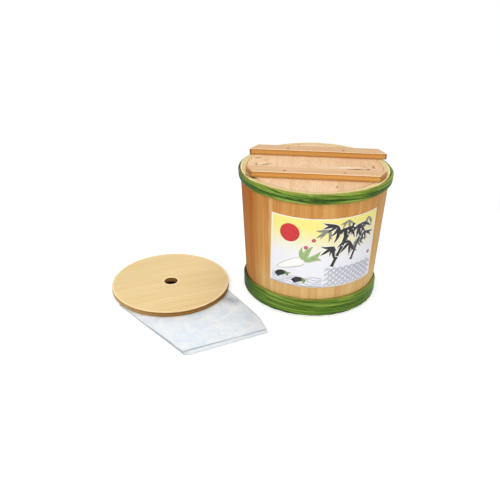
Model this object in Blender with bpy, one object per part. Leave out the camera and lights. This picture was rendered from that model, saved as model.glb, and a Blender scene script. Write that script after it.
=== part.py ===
"""Wooden pickling barrel with its lid, drop lid and folded liner bag, in metres, +Z up.

The barrel is coopered: tapered staves stand round a bottom of three boards and are
held by two twisted strand hoops. The lid lies in the mouth under two battens. The drop
lid and the liner bag lie on the floor beside the barrel.
"""

import math

import bmesh
import bpy
from mathutils import Matrix, Vector

# Clearances
GAP = 0.0003
OVERRUN = 0.002
EDGE_ROUNDING = 0.0008

# Staves
STAVE_LENGTH = 0.230
RIM_RADIUS = 0.1280
FOOT_RADIUS = 0.1151
STAVE_THICKNESS = 0.011
STAVE_WIDTH_SHARES = (
    14.5, 15.2, 16.6, 15.0, 16.3, 16.1, 17.4, 15.6, 18.0, 16.2, 17.1,
    15.4, 16.9, 17.8, 15.9, 16.5, 17.3, 15.2, 16.8, 17.6, 15.7, 16.9,
)
FIRST_JOINT_DEG = -129.0
STAVE_FACETS = 4

# Bottom, in a groove near the staves' feet
BOTTOM_HEIGHT = 0.012
BOTTOM_THICKNESS = 0.010
GROOVE_DEPTH = 0.003
BOTTOM_JOINT_X = 0.037

# Lid, flush in the mouth
LID_THICKNESS = 0.012
LID_CLEARANCE = 0.0007
LID_JOINT_X = 0.038
BATTEN_WIDTH = 0.026
BATTEN_THICKNESS = 0.0105
BATTEN_PLACES = {
    "front": {"x": RIM_RADIUS * 0.015625, "y": RIM_RADIUS * -0.41015625, "reach": RIM_RADIUS * 0.96875},
    "back": {"x": RIM_RADIUS * 0.0296875, "y": RIM_RADIUS * 0.4625, "reach": RIM_RADIUS * 1.01796875},
}

# Bamboo pins across the board joints
PIN_RADIUS = 0.002
PIN_LENGTH = 0.024
PIN_Y = 0.062
PIN_TIP = 0.0006

# Nails through the battens
NAIL_X = RIM_RADIUS * 0.3828125
NAIL_Y = RIM_RADIUS * 0.43359375
NAIL_LENGTH = 0.017
NAIL_RADIUS = 0.0011
NAIL_HEAD_RADIUS = 0.0024
NAIL_HEAD_HEIGHT = 0.0009
NAIL_TIP = 0.002
NAIL_SINK = 0.0004

# Hoops: one strand each, wound round and round as a flat twisted rope
STRAND_WIDTH = 0.0046
STRAND_THICKNESS = 0.0016
STRAND_FLAT_SHARE = 0.56
HOOP_SAMPLES = 36
UPPER_HOOP_BELOW_RIM = 0.0002
UPPER_HOOP_HEIGHT = 0.0155
UPPER_HOOP_DEPTH = 0.0055
UPPER_HOOP_PASSES = 6
UPPER_HOOP_TWISTS = 11
LOWER_HOOP_ABOVE_FLOOR = 0.0023
LOWER_HOOP_HEIGHT = 0.0325
LOWER_HOOP_DEPTH = 0.0041
LOWER_HOOP_PASSES = 12
LOWER_HOOP_TWISTS = 7
LEAST_STRAND_GAP = 0.0004

# Label, a flat sheet rolled round the staves
LABEL_WIDTH = 0.191
LABEL_HEIGHT = 0.130
LABEL_THICKNESS = 0.0004
LABEL_MIDDLE_SHARE = 0.5326
LABEL_MIDDLE_DEG = -77.5
LABEL_COLUMNS = 36

# Drop lid, sized to sink half way down the barrel, on the floor beside it
DROP_LID_LEVEL_SHARE = 0.5
DROP_LID_CLEARANCE = 0.0035
DROP_LID_THICKNESS = 0.009
DROP_LID_SIDE_GAP = 0.0162
DROP_LID_BEARING_DEG = 190.3
FINGER_HOLE_RADIUS = 0.012
DROP_LID_SIDES = 72

# Liner bag, folded flat under the drop lid, its corners measured from the drop lid's middle
BAG_THICKNESS = 0.0022
BAG_CORNERS = (
    (0.068, -0.208),
    (0.190, -0.131),
    (0.094, 0.015),
    (-0.080, -0.073),
)
BAG_CORNER_CUT = 0.004

# Facets of the round boards and of the pins and nails
BOARD_ARC_DEG = 7.0
PEG_SIDES = 12


def clear_scene():
    """Remove every object and mesh that the new file starts with."""
    for obj in list(bpy.data.objects):
        bpy.data.objects.remove(obj, do_unlink=True)
    for mesh in list(bpy.data.meshes):
        bpy.data.meshes.remove(mesh)


def linear(channel):
    """Linear light of one sRGB channel from 0 to 1."""
    if channel <= 0.04045:
        return channel / 12.92
    return ((channel + 0.055) / 1.055) ** 2.4


def material(name, colour, roughness, alpha=1.0):
    """Principled material from an sRGB hex colour."""
    made = bpy.data.materials.new(name)
    made.use_nodes = True
    shader = made.node_tree.nodes["Principled BSDF"]
    levels = [linear(int(colour[i:i + 2], 16) / 255) for i in (0, 2, 4)]
    shader.inputs["Base Color"].default_value = (*levels, 1.0)
    shader.inputs["Roughness"].default_value = roughness
    shader.inputs["Alpha"].default_value = alpha
    made.diffuse_color = (*levels, alpha)
    return made


def empty(name, place):
    """Empty that carries one body of the object."""
    made = bpy.data.objects.new(name, None)
    made.location = place
    made.empty_display_size = STAVE_THICKNESS
    bpy.context.collection.objects.link(made)
    return made


def add_object(name, mesh, look, parent, place=(0, 0, 0), smooth_deg=40):
    """Object of a mesh, with its material, its parent and its place in the parent."""
    made = bpy.data.objects.new(name, mesh)
    bpy.context.collection.objects.link(made)
    made.parent = parent
    made.location = place
    mesh.materials.append(look)
    mesh.shade_smooth()
    mesh.set_sharp_from_angle(angle=math.radians(smooth_deg))
    return made


def mesh_from(name, builder):
    """Mesh of a bmesh, with its faces turned outward."""
    bmesh.ops.recalc_face_normals(builder, faces=builder.faces)
    made = bpy.data.meshes.new(name)
    builder.to_mesh(made)
    builder.free()
    return made


def swept_mesh(name, stations, closed=False):
    """Body swept through stations of points, capped at its ends unless it closes on itself."""
    builder = bmesh.new()
    rings = [[builder.verts.new(point) for point in station] for station in stations]
    pairs = list(zip(rings, rings[1:]))
    if closed:
        pairs.append((rings[-1], rings[0]))
    else:
        builder.faces.new(rings[0])
        builder.faces.new(rings[-1])
    for ring, following in pairs:
        for i in range(len(ring)):
            j = (i + 1) % len(ring)
            builder.faces.new((ring[i], ring[j], following[j], following[i]))
    return mesh_from(name, builder)


def turned_mesh(name, profile, sides):
    """Body turned about Z from a profile of (radius, height) that starts and ends on the axis."""
    builder = bmesh.new()
    points = [builder.verts.new((radius, 0, height)) for radius, height in profile]
    edges = [builder.edges.new(pair) for pair in zip(points, points[1:])]
    bmesh.ops.spin(
        builder, geom=points + edges, cent=(0, 0, 0), axis=(0, 0, 1),
        angle=math.tau, steps=sides, use_merge=True, use_duplicate=False,
    )
    bmesh.ops.remove_doubles(builder, verts=builder.verts, dist=GAP / 30)
    return mesh_from(name, builder)


def ring_mesh(name, profile, sides):
    """Ring turned about Z from a closed profile of (radius, height)."""
    stations = []
    for i in range(sides):
        angle = math.tau * i / sides
        stations.append([(r * math.cos(angle), r * math.sin(angle), z) for r, z in profile])
    return swept_mesh(name, stations, closed=True)


def board_mesh(name, outline, thickness):
    """Board of an outline of (x, y), extruded upward from z = 0."""
    builder = bmesh.new()
    face = builder.faces.new([builder.verts.new((x, y, 0)) for x, y in outline])
    grown = bmesh.ops.extrude_face_region(builder, geom=[face], use_keep_orig=True)
    upper = [item for item in grown["geom"] if isinstance(item, bmesh.types.BMVert)]
    bmesh.ops.translate(builder, verts=upper, vec=(0, 0, thickness))
    return mesh_from(name, builder)


def round_edges(obj, width):
    """Bevel along the sharp edges of a board."""
    bevel = obj.modifiers.new("rounded_edges", "BEVEL")
    bevel.width = width
    bevel.segments = 1
    bevel.limit_method = "ANGLE"
    bevel.angle_limit = math.radians(35)


def cutter(name, mesh, parent, place, turn=None):
    """Body that only cuts others and isn't part of the object."""
    made = bpy.data.objects.new(name, mesh)
    bpy.context.collection.objects.link(made)
    made.parent = parent
    made.location = place
    if turn is not None:
        made.rotation_euler = turn
    made.hide_render = True
    made.display_type = "WIRE"
    return made


def cut(obj, tool):
    """Exact Boolean cut of one object by a cutter."""
    boolean = obj.modifiers.new("cut_" + tool.name, "BOOLEAN")
    boolean.operation = "DIFFERENCE"
    boolean.solver = "EXACT"
    boolean.object = tool


def outer_radius(height):
    """Radius of the staves' outer face, which tapers evenly from rim to foot."""
    return FOOT_RADIUS + (RIM_RADIUS - FOOT_RADIUS) * height / STAVE_LENGTH


def inner_radius(height):
    """Radius of the staves' inner face."""
    return outer_radius(height) - STAVE_THICKNESS


def stave_profile():
    """Radial section of a stave: outer face, rim, inner face with the bottom's groove, foot."""
    low = BOTTOM_HEIGHT - GAP
    high = BOTTOM_HEIGHT + BOTTOM_THICKNESS + GAP
    near_top = STAVE_LENGTH - EDGE_ROUNDING
    return [
        (outer_radius(0) - EDGE_ROUNDING, 0),
        (outer_radius(EDGE_ROUNDING), EDGE_ROUNDING),
        (outer_radius(near_top), near_top),
        (outer_radius(STAVE_LENGTH) - EDGE_ROUNDING, STAVE_LENGTH),
        (inner_radius(STAVE_LENGTH) + EDGE_ROUNDING, STAVE_LENGTH),
        (inner_radius(near_top), near_top),
        (inner_radius(high), high),
        (inner_radius(high) + GROOVE_DEPTH, high),
        (inner_radius(low) + GROOVE_DEPTH, low),
        (inner_radius(low), low),
        (inner_radius(EDGE_ROUNDING), EDGE_ROUNDING),
        (inner_radius(0) + EDGE_ROUNDING, 0),
    ]


def stave_angles():
    """Start and end angle of each stave, from the shares of their widths."""
    total = sum(STAVE_WIDTH_SHARES)
    angle = math.radians(FIRST_JOINT_DEG)
    spans = []
    for share in STAVE_WIDTH_SHARES:
        width = math.tau * share / total
        spans.append((angle, angle + width))
        angle += width
    return spans


def stave_mesh(name, start, end):
    """Stave between two joint angles, its sides parallel to the joints and half a gap off them."""
    stations = []
    for step in range(STAVE_FACETS + 1):
        station = []
        for radius, height in stave_profile():
            inset = GAP / (2 * radius)
            angle = start + (end - start) * step / STAVE_FACETS
            angle = min(max(angle, start + inset), end - inset)
            station.append((radius * math.cos(angle), radius * math.sin(angle), height))
        stations.append(station)
    return swept_mesh(name, stations)


def arc(radius, start, end):
    """Points of an arc about the origin, both ends included."""
    steps = max(1, round(abs(end - start) / math.radians(BOARD_ARC_DEG)))
    angles = [start + (end - start) * i / steps for i in range(steps + 1)]
    return [(radius * math.cos(a), radius * math.sin(a)) for a in angles]


def disc_boards(radius, joint_x):
    """Outlines of the left, centre and right boards that make up a round board."""
    side = math.acos((joint_x + GAP / 2) / radius)
    middle = math.acos((joint_x - GAP / 2) / radius)
    right = arc(radius, -side, side)
    left = arc(radius, math.pi - side, math.pi + side)
    centre = arc(radius, middle, math.pi - middle) + arc(radius, math.pi + middle, math.tau - middle)
    return {"left": left, "centre": centre, "right": right}


def peg_profile(radius, length, tip, grow=0.0):
    """Profile of a pin about its middle, its ends tapered, made larger by grow all round."""
    half = length / 2 + grow
    return [
        (0, half),
        (radius + grow - tip, half),
        (radius + grow, half - tip),
        (radius + grow, tip - half),
        (radius + grow - tip, -half),
        (0, -half),
    ]


def nail_profile(grow=0.0, rise=0.0):
    """Profile of a nail hanging from z = 0, made larger by grow all round and taller by rise."""
    head = NAIL_HEAD_RADIUS + grow
    shank = NAIL_RADIUS + grow
    return [
        (0, rise),
        (head, rise),
        (head, -NAIL_HEAD_HEIGHT - grow),
        (shank, -NAIL_HEAD_HEIGHT - grow),
        (shank, NAIL_TIP - NAIL_LENGTH),
        (shank / 2, -NAIL_LENGTH - grow),
        (0, -NAIL_LENGTH - grow),
    ]


def racetrack(share, straight, bend):
    """Point and outward direction a share of the way round a flat loop, down its front first.

    The loop lies in a plane across the hoop: u points away from the barrel and v upward.
    """
    length = 2 * straight + math.tau * bend
    way = (share % 1) * length
    if way < straight:
        return bend, straight / 2 - way, 0.0
    way -= straight
    if way < math.pi * bend:
        turn = way / bend
        return bend * math.cos(turn), -straight / 2 - bend * math.sin(turn), -turn
    way -= math.pi * bend
    if way < straight:
        return -bend, way - straight / 2, -math.pi
    turn = (way - straight) / bend + math.pi
    return bend * math.cos(turn), straight / 2 - bend * math.sin(turn), -turn


def strand_section():
    """Six corners of the strand, across its width first and through its thickness second."""
    wide = STRAND_WIDTH / 2
    flat = wide * STRAND_FLAT_SHARE
    thick = STRAND_THICKNESS / 2
    return [(wide, 0), (flat, thick), (-flat, thick), (-wide, 0), (-flat, -thick), (flat, -thick)]


def hoop_stations(middle, height, depth, passes, twists):
    """Stations of one strand that runs round the barrel and creeps round the hoop's section.

    After all its passes it has gone round the section a whole number of times and closes.
    """
    bend = (depth - STRAND_THICKNESS) / 2
    straight = height - STRAND_THICKNESS - 2 * bend
    chord = math.cos(math.pi / HOOP_SAMPLES)
    standoff = depth / 2 + GAP
    stations = []
    for step in range(passes * HOOP_SAMPLES):
        angle = math.tau * step / HOOP_SAMPLES
        share = twists * step / (passes * HOOP_SAMPLES)
        u, v, lean = racetrack(share, straight, bend)
        station = []
        for across, through in strand_section():
            du = through * math.cos(lean) - across * math.sin(lean)
            dv = through * math.sin(lean) + across * math.cos(lean)
            z = middle + v + dv
            radius = outer_radius(z) / chord + standoff + u + du
            station.append((radius * math.cos(angle), radius * math.sin(angle), z))
        stations.append(station)
    return stations


def distance_to_edge(point, start, end):
    """Distance from a point to the straight edge between two others."""
    edge = end - start
    share = max(0.0, min(1.0, (point - start).dot(edge) / edge.length_squared))
    return (start + edge * share - point).length


def least_strand_gap(stations):
    """Least distance from one pass of the strand to another, at the sections' corners."""
    least = math.inf
    for sample in range(HOOP_SAMPLES):
        rings = [[Vector(p) for p in ring] for ring in stations[sample::HOOP_SAMPLES]]
        for i, ring in enumerate(rings):
            for other in rings[:i] + rings[i + 1:]:
                for point in ring:
                    for k in range(len(other)):
                        gap = distance_to_edge(point, other[k - 1], other[k])
                        least = min(least, gap)
    return least


def hoop_mesh(name, middle, height, depth, passes, twists):
    """Hoop of one unbroken strand, whose least gap to itself is printed."""
    stations = hoop_stations(middle, height, depth, passes, twists)
    gap = least_strand_gap(stations)
    print(f"{name}: least gap of the strand to itself {gap * 1000:.2f} mm")
    if gap <= LEAST_STRAND_GAP:
        raise ValueError(f"{name}: the strand comes too close to itself")
    return swept_mesh(name, stations, closed=True)


def label_mesh(name):
    """Label: a flat rectangle rolled on the cone of the staves' outer face.

    Unrolled, the cone is a fan about its apex, and the label is a rectangle in that fan.
    """
    slant = math.hypot(STAVE_LENGTH, RIM_RADIUS - FOOT_RADIUS)
    sine = (RIM_RADIUS - FOOT_RADIUS) / slant
    cosine = STAVE_LENGTH / slant
    waist = LABEL_MIDDLE_SHARE * STAVE_LENGTH
    reach = outer_radius(waist) / sine
    middle = math.radians(LABEL_MIDDLE_DEG)
    chord = math.cos(LABEL_WIDTH / outer_radius(0) / LABEL_COLUMNS)
    stations = []
    for column in range(LABEL_COLUMNS + 1):
        across = LABEL_WIDTH * (column / LABEL_COLUMNS - 1 / 2)
        station = []
        for lift, up in ((0, -1), (0, 1), (LABEL_THICKNESS, 1), (LABEL_THICKNESS, -1)):
            along = reach + up * LABEL_HEIGHT / 2
            ray = math.copysign(math.hypot(along, across), along)
            angle = middle + math.atan(across / along) / sine
            height = waist + (ray - reach) * cosine
            radius = ray * sine / chord + GAP + lift
            station.append((radius * math.cos(angle), radius * math.sin(angle), height))
        stations.append(station)
    return swept_mesh(name, stations)


def cut_corners(corners, size):
    """Outline with each corner cut off at a distance from it along both of its sides."""
    outline = []
    for i, corner in enumerate(corners):
        here = Vector(corner)
        for other in (corners[i - 1], corners[(i + 1) % len(corners)]):
            side = Vector(other) - here
            outline.append(here + side.normalized() * size)
    return [(point.x, point.y) for point in outline]


def build_staves(body, look):
    """Staves of the barrel's wall."""
    for i, (start, end) in enumerate(stave_angles()):
        name = f"stave_{i + 1:02d}"
        add_object(name, stave_mesh(name, start, end), look, body, smooth_deg=30)


def build_round_board(prefix, radius, thickness, joint_x, body, base, looks):
    """Three boards that make a disc, with two bamboo pins across each joint."""
    boards = {}
    for side, outline in disc_boards(radius, joint_x).items():
        name = f"{prefix}_board_{side}"
        board = add_object(name, board_mesh(name, outline, thickness), looks["wood"], body, (0, 0, base))
        round_edges(board, EDGE_ROUNDING)
        boards[side] = board
    across = (0, math.pi / 2, 0)
    for side, sign in (("left", -1), ("right", 1)):
        for place, way in (("front", -1), ("back", 1)):
            name = f"{prefix}_pin_{side}_{place}"
            spot = (sign * joint_x, way * PIN_Y, base + thickness / 2)
            peg = turned_mesh(name, peg_profile(PIN_RADIUS, PIN_LENGTH, PIN_TIP), PEG_SIDES)
            pin = add_object(name, peg, looks["bamboo"], body, spot)
            pin.rotation_euler = across
            hole = turned_mesh(name + "_hole", peg_profile(PIN_RADIUS, PIN_LENGTH, PIN_TIP, GAP), PEG_SIDES)
            tool = cutter(name + "_cutter", hole, body, spot, across)
            cut(boards[side], tool)
            cut(boards["centre"], tool)
    return boards


def batten_outline(place):
    """Outline of a batten whose ends are cut on the slant, with corners on a circle like the rim."""
    points = []
    for edge in (place["y"] - BATTEN_WIDTH / 2, place["y"] + BATTEN_WIDTH / 2):
        points.append((math.sqrt(place["reach"] ** 2 - edge ** 2), edge))
    left = [(-x, y) for x, y in reversed(points)]
    return [(x + place["x"], y) for x, y in points + left]


def build_lid(body, looks):
    """Lid boards, their two battens and the nails. The body's origin is at the rim's height."""
    facet = math.tau * max(STAVE_WIDTH_SHARES) / sum(STAVE_WIDTH_SHARES) / STAVE_FACETS
    mouth = inner_radius(STAVE_LENGTH - LID_THICKNESS) * math.cos(facet / 2)
    boards = build_round_board(
        "lid", mouth - LID_CLEARANCE, LID_THICKNESS, LID_JOINT_X, body, -LID_THICKNESS, looks)
    top = GAP + BATTEN_THICKNESS
    for place, way in (("front", -1), ("back", 1)):
        name = f"batten_{place}"
        mesh = board_mesh(name, batten_outline(BATTEN_PLACES[place]), BATTEN_THICKNESS)
        batten = add_object(name, mesh, looks["batten"], body, (0, 0, GAP))
        round_edges(batten, EDGE_ROUNDING)
        for side, sign in (("left", -1), ("right", 1)):
            nail_name = f"nail_{place}_{side}"
            spot = (sign * NAIL_X, way * NAIL_Y, top - NAIL_SINK)
            add_object(nail_name, turned_mesh(nail_name, nail_profile(), PEG_SIDES), looks["nail"], body, spot)
            hole = turned_mesh(nail_name + "_hole", nail_profile(GAP, OVERRUN), PEG_SIDES)
            tool = cutter(nail_name + "_cutter", hole, body, spot)
            cut(batten, tool)
            cut(boards[side], tool)


def drop_lid_radius():
    """Radius of the drop lid, a clearance less than the staves' inner face where it comes to lie."""
    return inner_radius(DROP_LID_LEVEL_SHARE * STAVE_LENGTH) - DROP_LID_CLEARANCE


def build_drop_lid(body, look):
    """Round plywood disc with a finger hole, its underside at the body's origin."""
    top = DROP_LID_THICKNESS
    edge = EDGE_ROUNDING
    outer = drop_lid_radius()
    inner = FINGER_HOLE_RADIUS
    profile = [
        (outer - edge, 0),
        (outer, edge),
        (outer, top - edge),
        (outer - edge, top),
        (inner + edge, top),
        (inner, top - edge),
        (inner, edge),
        (inner + edge, 0),
    ]
    add_object("drop_lid", ring_mesh("drop_lid", profile, DROP_LID_SIDES), look, body)


def place_of_drop_lid():
    """Place of the drop lid's middle from the barrel's axis, clear of the upper hoop."""
    reach = RIM_RADIUS + UPPER_HOOP_DEPTH + DROP_LID_SIDE_GAP + drop_lid_radius()
    bearing = math.radians(DROP_LID_BEARING_DEG)
    return reach * math.cos(bearing), reach * math.sin(bearing)


def place_of_barrel():
    """Place of the barrel's axis that sets the middle of everything's outline at the origin."""
    hoop = RIM_RADIUS + UPPER_HOOP_DEPTH
    drop_x, drop_y = place_of_drop_lid()
    left = drop_x - drop_lid_radius()
    front = drop_y + min(y for x, y in BAG_CORNERS)
    return -(left + hoop) / 2, -(front + hoop) / 2


def main():
    clear_scene()
    looks = {
        "wood": material("lid_wood", "E6C49C", 0.6),
        "batten": material("batten_wood", "DDA868", 0.55),
        "bamboo": material("bamboo_pin", "D9C48A", 0.5),
        "nail": material("nail_steel", "6B5A48", 0.4),
        "stave": material("stave_cedar", "C98F52", 0.55),
        "hoop": material("hoop_green_strand", "5E8E38", 0.3),
        "label": material("label_paper", "F4F0DC", 0.5),
        "drop": material("drop_lid_plywood", "EED49A", 0.5),
        "bag": material("liner_film", "E4EAF0", 0.25, 0.6),
    }
    barrel_x, barrel_y = place_of_barrel()
    barrel = empty("barrel_axis", (barrel_x, barrel_y, 0))
    lid = empty("lid_axis", (barrel_x, barrel_y, STAVE_LENGTH))
    drop_x, drop_y = place_of_drop_lid()
    drop = empty("drop_lid_axis", (barrel_x + drop_x, barrel_y + drop_y, BAG_THICKNESS + GAP))

    build_staves(barrel, looks["stave"])
    facet = math.tau * max(STAVE_WIDTH_SHARES) / sum(STAVE_WIDTH_SHARES) / STAVE_FACETS
    groove = (inner_radius(BOTTOM_HEIGHT - GAP) + GROOVE_DEPTH) * math.cos(facet / 2)
    build_round_board(
        "bottom", groove - GAP, BOTTOM_THICKNESS, BOTTOM_JOINT_X, barrel, BOTTOM_HEIGHT, looks)
    upper = STAVE_LENGTH - UPPER_HOOP_BELOW_RIM - UPPER_HOOP_HEIGHT / 2
    lower = LOWER_HOOP_ABOVE_FLOOR + LOWER_HOOP_HEIGHT / 2
    upper_sizes = (UPPER_HOOP_HEIGHT, UPPER_HOOP_DEPTH, UPPER_HOOP_PASSES, UPPER_HOOP_TWISTS)
    lower_sizes = (LOWER_HOOP_HEIGHT, LOWER_HOOP_DEPTH, LOWER_HOOP_PASSES, LOWER_HOOP_TWISTS)
    for name, middle, sizes in (("upper_hoop", upper, upper_sizes), ("lower_hoop", lower, lower_sizes)):
        add_object(name, hoop_mesh(name, middle, *sizes), looks["hoop"], barrel)
    add_object("label", label_mesh("label"), looks["label"], barrel)
    bag = add_object(
        "liner_bag", board_mesh("liner_bag", cut_corners(BAG_CORNERS, BAG_CORNER_CUT), BAG_THICKNESS),
        looks["bag"], barrel, (drop_x, drop_y, 0))
    round_edges(bag, EDGE_ROUNDING / 2)

    build_lid(lid, looks)
    build_drop_lid(drop, looks["drop"])
    bpy.context.view_layer.update()
    print(f"barrel axis at x {barrel_x:.4f} m, y {barrel_y:.4f} m")


main()
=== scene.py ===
# %% [markdown]
# # A wooden pickling barrel
#
# A cooper stands tapered planks, the staves, round a bottom and pulls them tight with two
# hoops of green strand. A boarded lid lies in the mouth. Beside the barrel lie the drop lid,
# which a stone presses on the vegetables, and a folded liner bag. This lesson dresses the
# measured model: each cell makes one piece or one finish.

# %% Load the measured model
import bpy
import numpy as np
from mathutils import Matrix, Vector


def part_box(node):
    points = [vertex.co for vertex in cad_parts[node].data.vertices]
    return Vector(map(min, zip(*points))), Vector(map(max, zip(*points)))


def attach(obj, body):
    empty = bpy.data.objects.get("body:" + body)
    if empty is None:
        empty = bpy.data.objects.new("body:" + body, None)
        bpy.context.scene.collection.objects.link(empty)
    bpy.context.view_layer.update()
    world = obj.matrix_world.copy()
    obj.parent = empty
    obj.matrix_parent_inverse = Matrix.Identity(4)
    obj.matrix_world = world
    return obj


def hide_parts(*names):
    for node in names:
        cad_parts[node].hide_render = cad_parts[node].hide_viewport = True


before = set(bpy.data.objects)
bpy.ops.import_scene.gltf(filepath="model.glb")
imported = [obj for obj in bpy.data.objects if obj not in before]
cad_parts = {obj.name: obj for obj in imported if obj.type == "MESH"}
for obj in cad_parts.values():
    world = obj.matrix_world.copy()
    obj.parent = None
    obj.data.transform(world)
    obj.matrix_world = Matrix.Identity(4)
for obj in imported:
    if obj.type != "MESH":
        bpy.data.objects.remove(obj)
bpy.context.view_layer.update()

# %% [markdown]
# ## Sizes
#
# The pieces are made to the model's own sizes, in metres. They could be modelled at any place
# and moved, but here each point is worked out where it belongs, so every object stays at the
# origin. Heights run from the floor and radii from the barrel's axis, whose place is read from
# the lid boards' boxes.

# %% Sizes of the barrel
def corners(node):
    """A node's lowest and highest corner, as two rows."""
    return np.array(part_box(node))


STAVE_LENGTH = corners("stave_01")[1, 2].round(6)
STAVE_THICKNESS, RIM_RADIUS, FOOT_RADIUS = 0.011, 0.1280, 0.1151
TAPER = (RIM_RADIUS - FOOT_RADIUS) / STAVE_LENGTH
GAP = 0.0003


def outer_radius(height):
    """Radius of the staves' outer face: it grows evenly from the foot to the rim."""
    return FOOT_RADIUS + TAPER * height


lid_left, lid_right = corners("lid_board_left")[0, 0], corners("lid_board_right")[1, 0]
AXIS = np.array([(lid_left + lid_right) / 2, corners("lid_board_centre")[:, 1].mean(), 0.0])
DROP = corners("drop_lid").mean(0) * (1, 1, 0)
DROP_RADIUS = np.ptp(corners("drop_lid")[:, 0]) / 2
print("barrel axis at", AXIS.round(4), "drop lid at", DROP.round(4), "radius", round(DROP_RADIUS, 4))

# %% [markdown]
# ## Camera and light
#
# The camera stands a metre in front of the barrel and a little over half a metre up, with a
# lens of normal length, turned so that the barrel comes right of the middle. Its three axes
# were worked out from the ellipses of the rim and hoops, and are set as a matrix, which holds
# a small roll that a tracking constraint would lose. One large soft lamp hangs high in front on
# the left, a weaker one on the right, and a pale sky fills the shadows.

# %% Camera
def pose(across, upward, backward, place):
    """Matrix of an object that has these three axes and stands at this place."""
    rows = np.eye(4)
    rows[:3] = np.stack([across, upward, backward, place], -1)
    return Matrix(rows.tolist())


eye = AXIS + np.array([-0.0007, -1.06201, 0.61932])
right, up = np.array([0.99436, 0.10595, 0.00505]), np.array([-0.05359, 0.46078, 0.88589])
camera = bpy.data.objects.new("camera", bpy.data.cameras.new("camera"))
camera.data.sensor_width = 36.0
camera.data.lens = 46.8
camera.matrix_world = pose(right, up, np.cross(right, up), eye)
bpy.context.collection.objects.link(camera)
bpy.context.scene.camera = camera
bpy.context.scene.view_settings.view_transform = "Standard"
print("camera", eye.round(3), "lens mm", camera.data.lens)

# %% [markdown]
# Materials are node trees. They could be drawn by hand in the shader editor, but a script can
# be read and run again. One function adds a node and wires its sockets: values without a name
# go to the sockets in use, in their order. The names below stand for kinds of node with their
# settings, so that a tree reads as what it works out. A noise's scale counts its blobs along a
# metre, so 1000 over the scale is their size in millimetres.

# %% Kinds of node
KINDS = {
    "mix": ("Mix", {"data_type": "RGBA"}),
    "stain": ("Mix", {"data_type": "RGBA", "blend_type": "MULTIPLY"}),
    "smooth": ("MapRange", {"interpolation_type": "SMOOTHSTEP"}),
    "local": ("Mapping", {"vector_type": "TEXTURE"}),
    "capped": ("Math", {"operation": "MULTIPLY_ADD", "use_clamp": True}),
}
for word in ("add", "multiply", "multiply_add", "maximum", "absolute", "greater_than", "fract",
             "exponent", "pingpong"):
    KINDS[word] = ("Math", {"operation": word.upper()})
for word in ("length", "distance", "subtract"):
    KINDS[word] = ("VectorMath", {"operation": word.upper()})
print("kinds of node:", ", ".join(KINDS))


# %% Colour and node helpers
def linear(colour):
    """Linear red, green, blue and alpha of an sRGB hex colour: a power of 2.4 above the toe."""
    values = np.array([int(colour[i:i + 2], 16) for i in (0, 2, 4)]) / 255
    values = np.where(values <= 0.04045, values / 12.92, ((values + 0.055) / 1.055) ** 2.4)
    return (*values.tolist(), 1.0)


def wire(node, *values, **named):
    """Set or link a node's sockets; hex colours turn linear, a node gives its first output."""
    pairs = list(zip((socket for socket in node.inputs if socket.enabled), values))
    pairs += [(node.inputs[name.replace("_", " ")], value) for name, value in named.items()]
    for socket, value in pairs:
        if isinstance(value, bpy.types.Node):
            value = next(output for output in value.outputs if output.enabled)
        if isinstance(value, bpy.types.NodeSocket):
            node.id_data.links.new(value, socket)
        else:
            socket.default_value = linear(value) if isinstance(value, str) else value
    return node


def add(tree, kind, *values, **named):
    """Add a node of a kind and wire its sockets; a name in lower case is one of its settings."""
    kind, settings = KINDS.get(kind, (kind, {}))
    settings = settings | {name: value for name, value in named.items() if name.islower()}
    made = tree.nodes.new("ShaderNode" + kind)
    for name, value in settings.items():
        setattr(made, name, value)
    return wire(made, *values, **{name: named[name] for name in named if name not in settings})


def empty_tree(owner):
    """Node tree of a material or a world, with nothing in it."""
    owner.use_nodes = True
    owner.node_tree.nodes.clear()
    return owner.node_tree


def new_material(name):
    """Empty material with a Principled shader that is ready to be wired."""
    made = bpy.data.materials.new(name)
    tree = empty_tree(made)
    shader = add(tree, "BsdfPrincipled")
    add(tree, "OutputMaterial", shader)
    return made, tree, shader


def stretched_noise(tree, place, scales, detail, roughness=0.5):
    """Noise whose blobs are drawn out along the directions that have a low scale."""
    return add(tree, "TexNoise", add(tree, "Mapping", place, Scale=scales), 1.0, detail, roughness)


print("middle grey in linear light:", round(linear("808080")[0], 3))

# %% [markdown]
# The floor is a pale sheet with a soft shadow on it. Seen by the camera, and in glossy or
# clear surfaces, it is lifted to white near the barrel and is plain white further off, so the
# picture keeps a white ground and the lamps can stay low. Within the drop lid's finger hole it
# is painted dark as shade, but only where its ambient occlusion says that the drop lid stands
# right over it.

# %% Floor and sky
def backdrop_light(tree):
    """1 for a ray from the camera, a mirror or a clear surface, else 0."""
    path = add(tree, "LightPath").outputs
    first = add(tree, "maximum", path["Is Camera Ray"], path["Is Glossy Ray"])
    return add(tree, "maximum", first, path["Is Transmission Ray"])


FLOOR_SIDE, LIFT = 6.0, 0.55
WHITE_FROM, WHITE_TO = 0.35, 0.8
floor_mesh = bpy.data.meshes.new("floor")
ends = (-FLOOR_SIDE, FLOOR_SIDE)
floor_mesh.from_pydata([(x, y, 0) for x in ends for y in ends], [], [(0, 2, 3, 1)])
floor = bpy.data.objects.new("floor", floor_mesh)
bpy.context.collection.objects.link(floor)
floor_paint = bpy.data.materials.new("pale_floor_paint")
tree = empty_tree(floor_paint)
seen = backdrop_light(tree)
place = add(tree, "TexCoord").outputs["Object"]
glow = add(tree, "Emission", "FFFFFF", add(tree, "multiply", seen, LIFT))
open_floor = add(tree, "AddShader", add(tree, "BsdfDiffuse", "D4D4D2"), glow)
covered = add(tree, "AmbientOcclusion", samples=8, Distance=0.03).outputs["AO"]
closed_in = add(tree, "MapRange", covered, 0.9, 0.5)
# Painted shade: a near-black floor inside the finger hole, where the drop lid stands over it.
hole_painted_shade = add(tree, "MixShader", closed_in, open_floor, add(tree, "BsdfDiffuse", "1A120C"))
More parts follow.
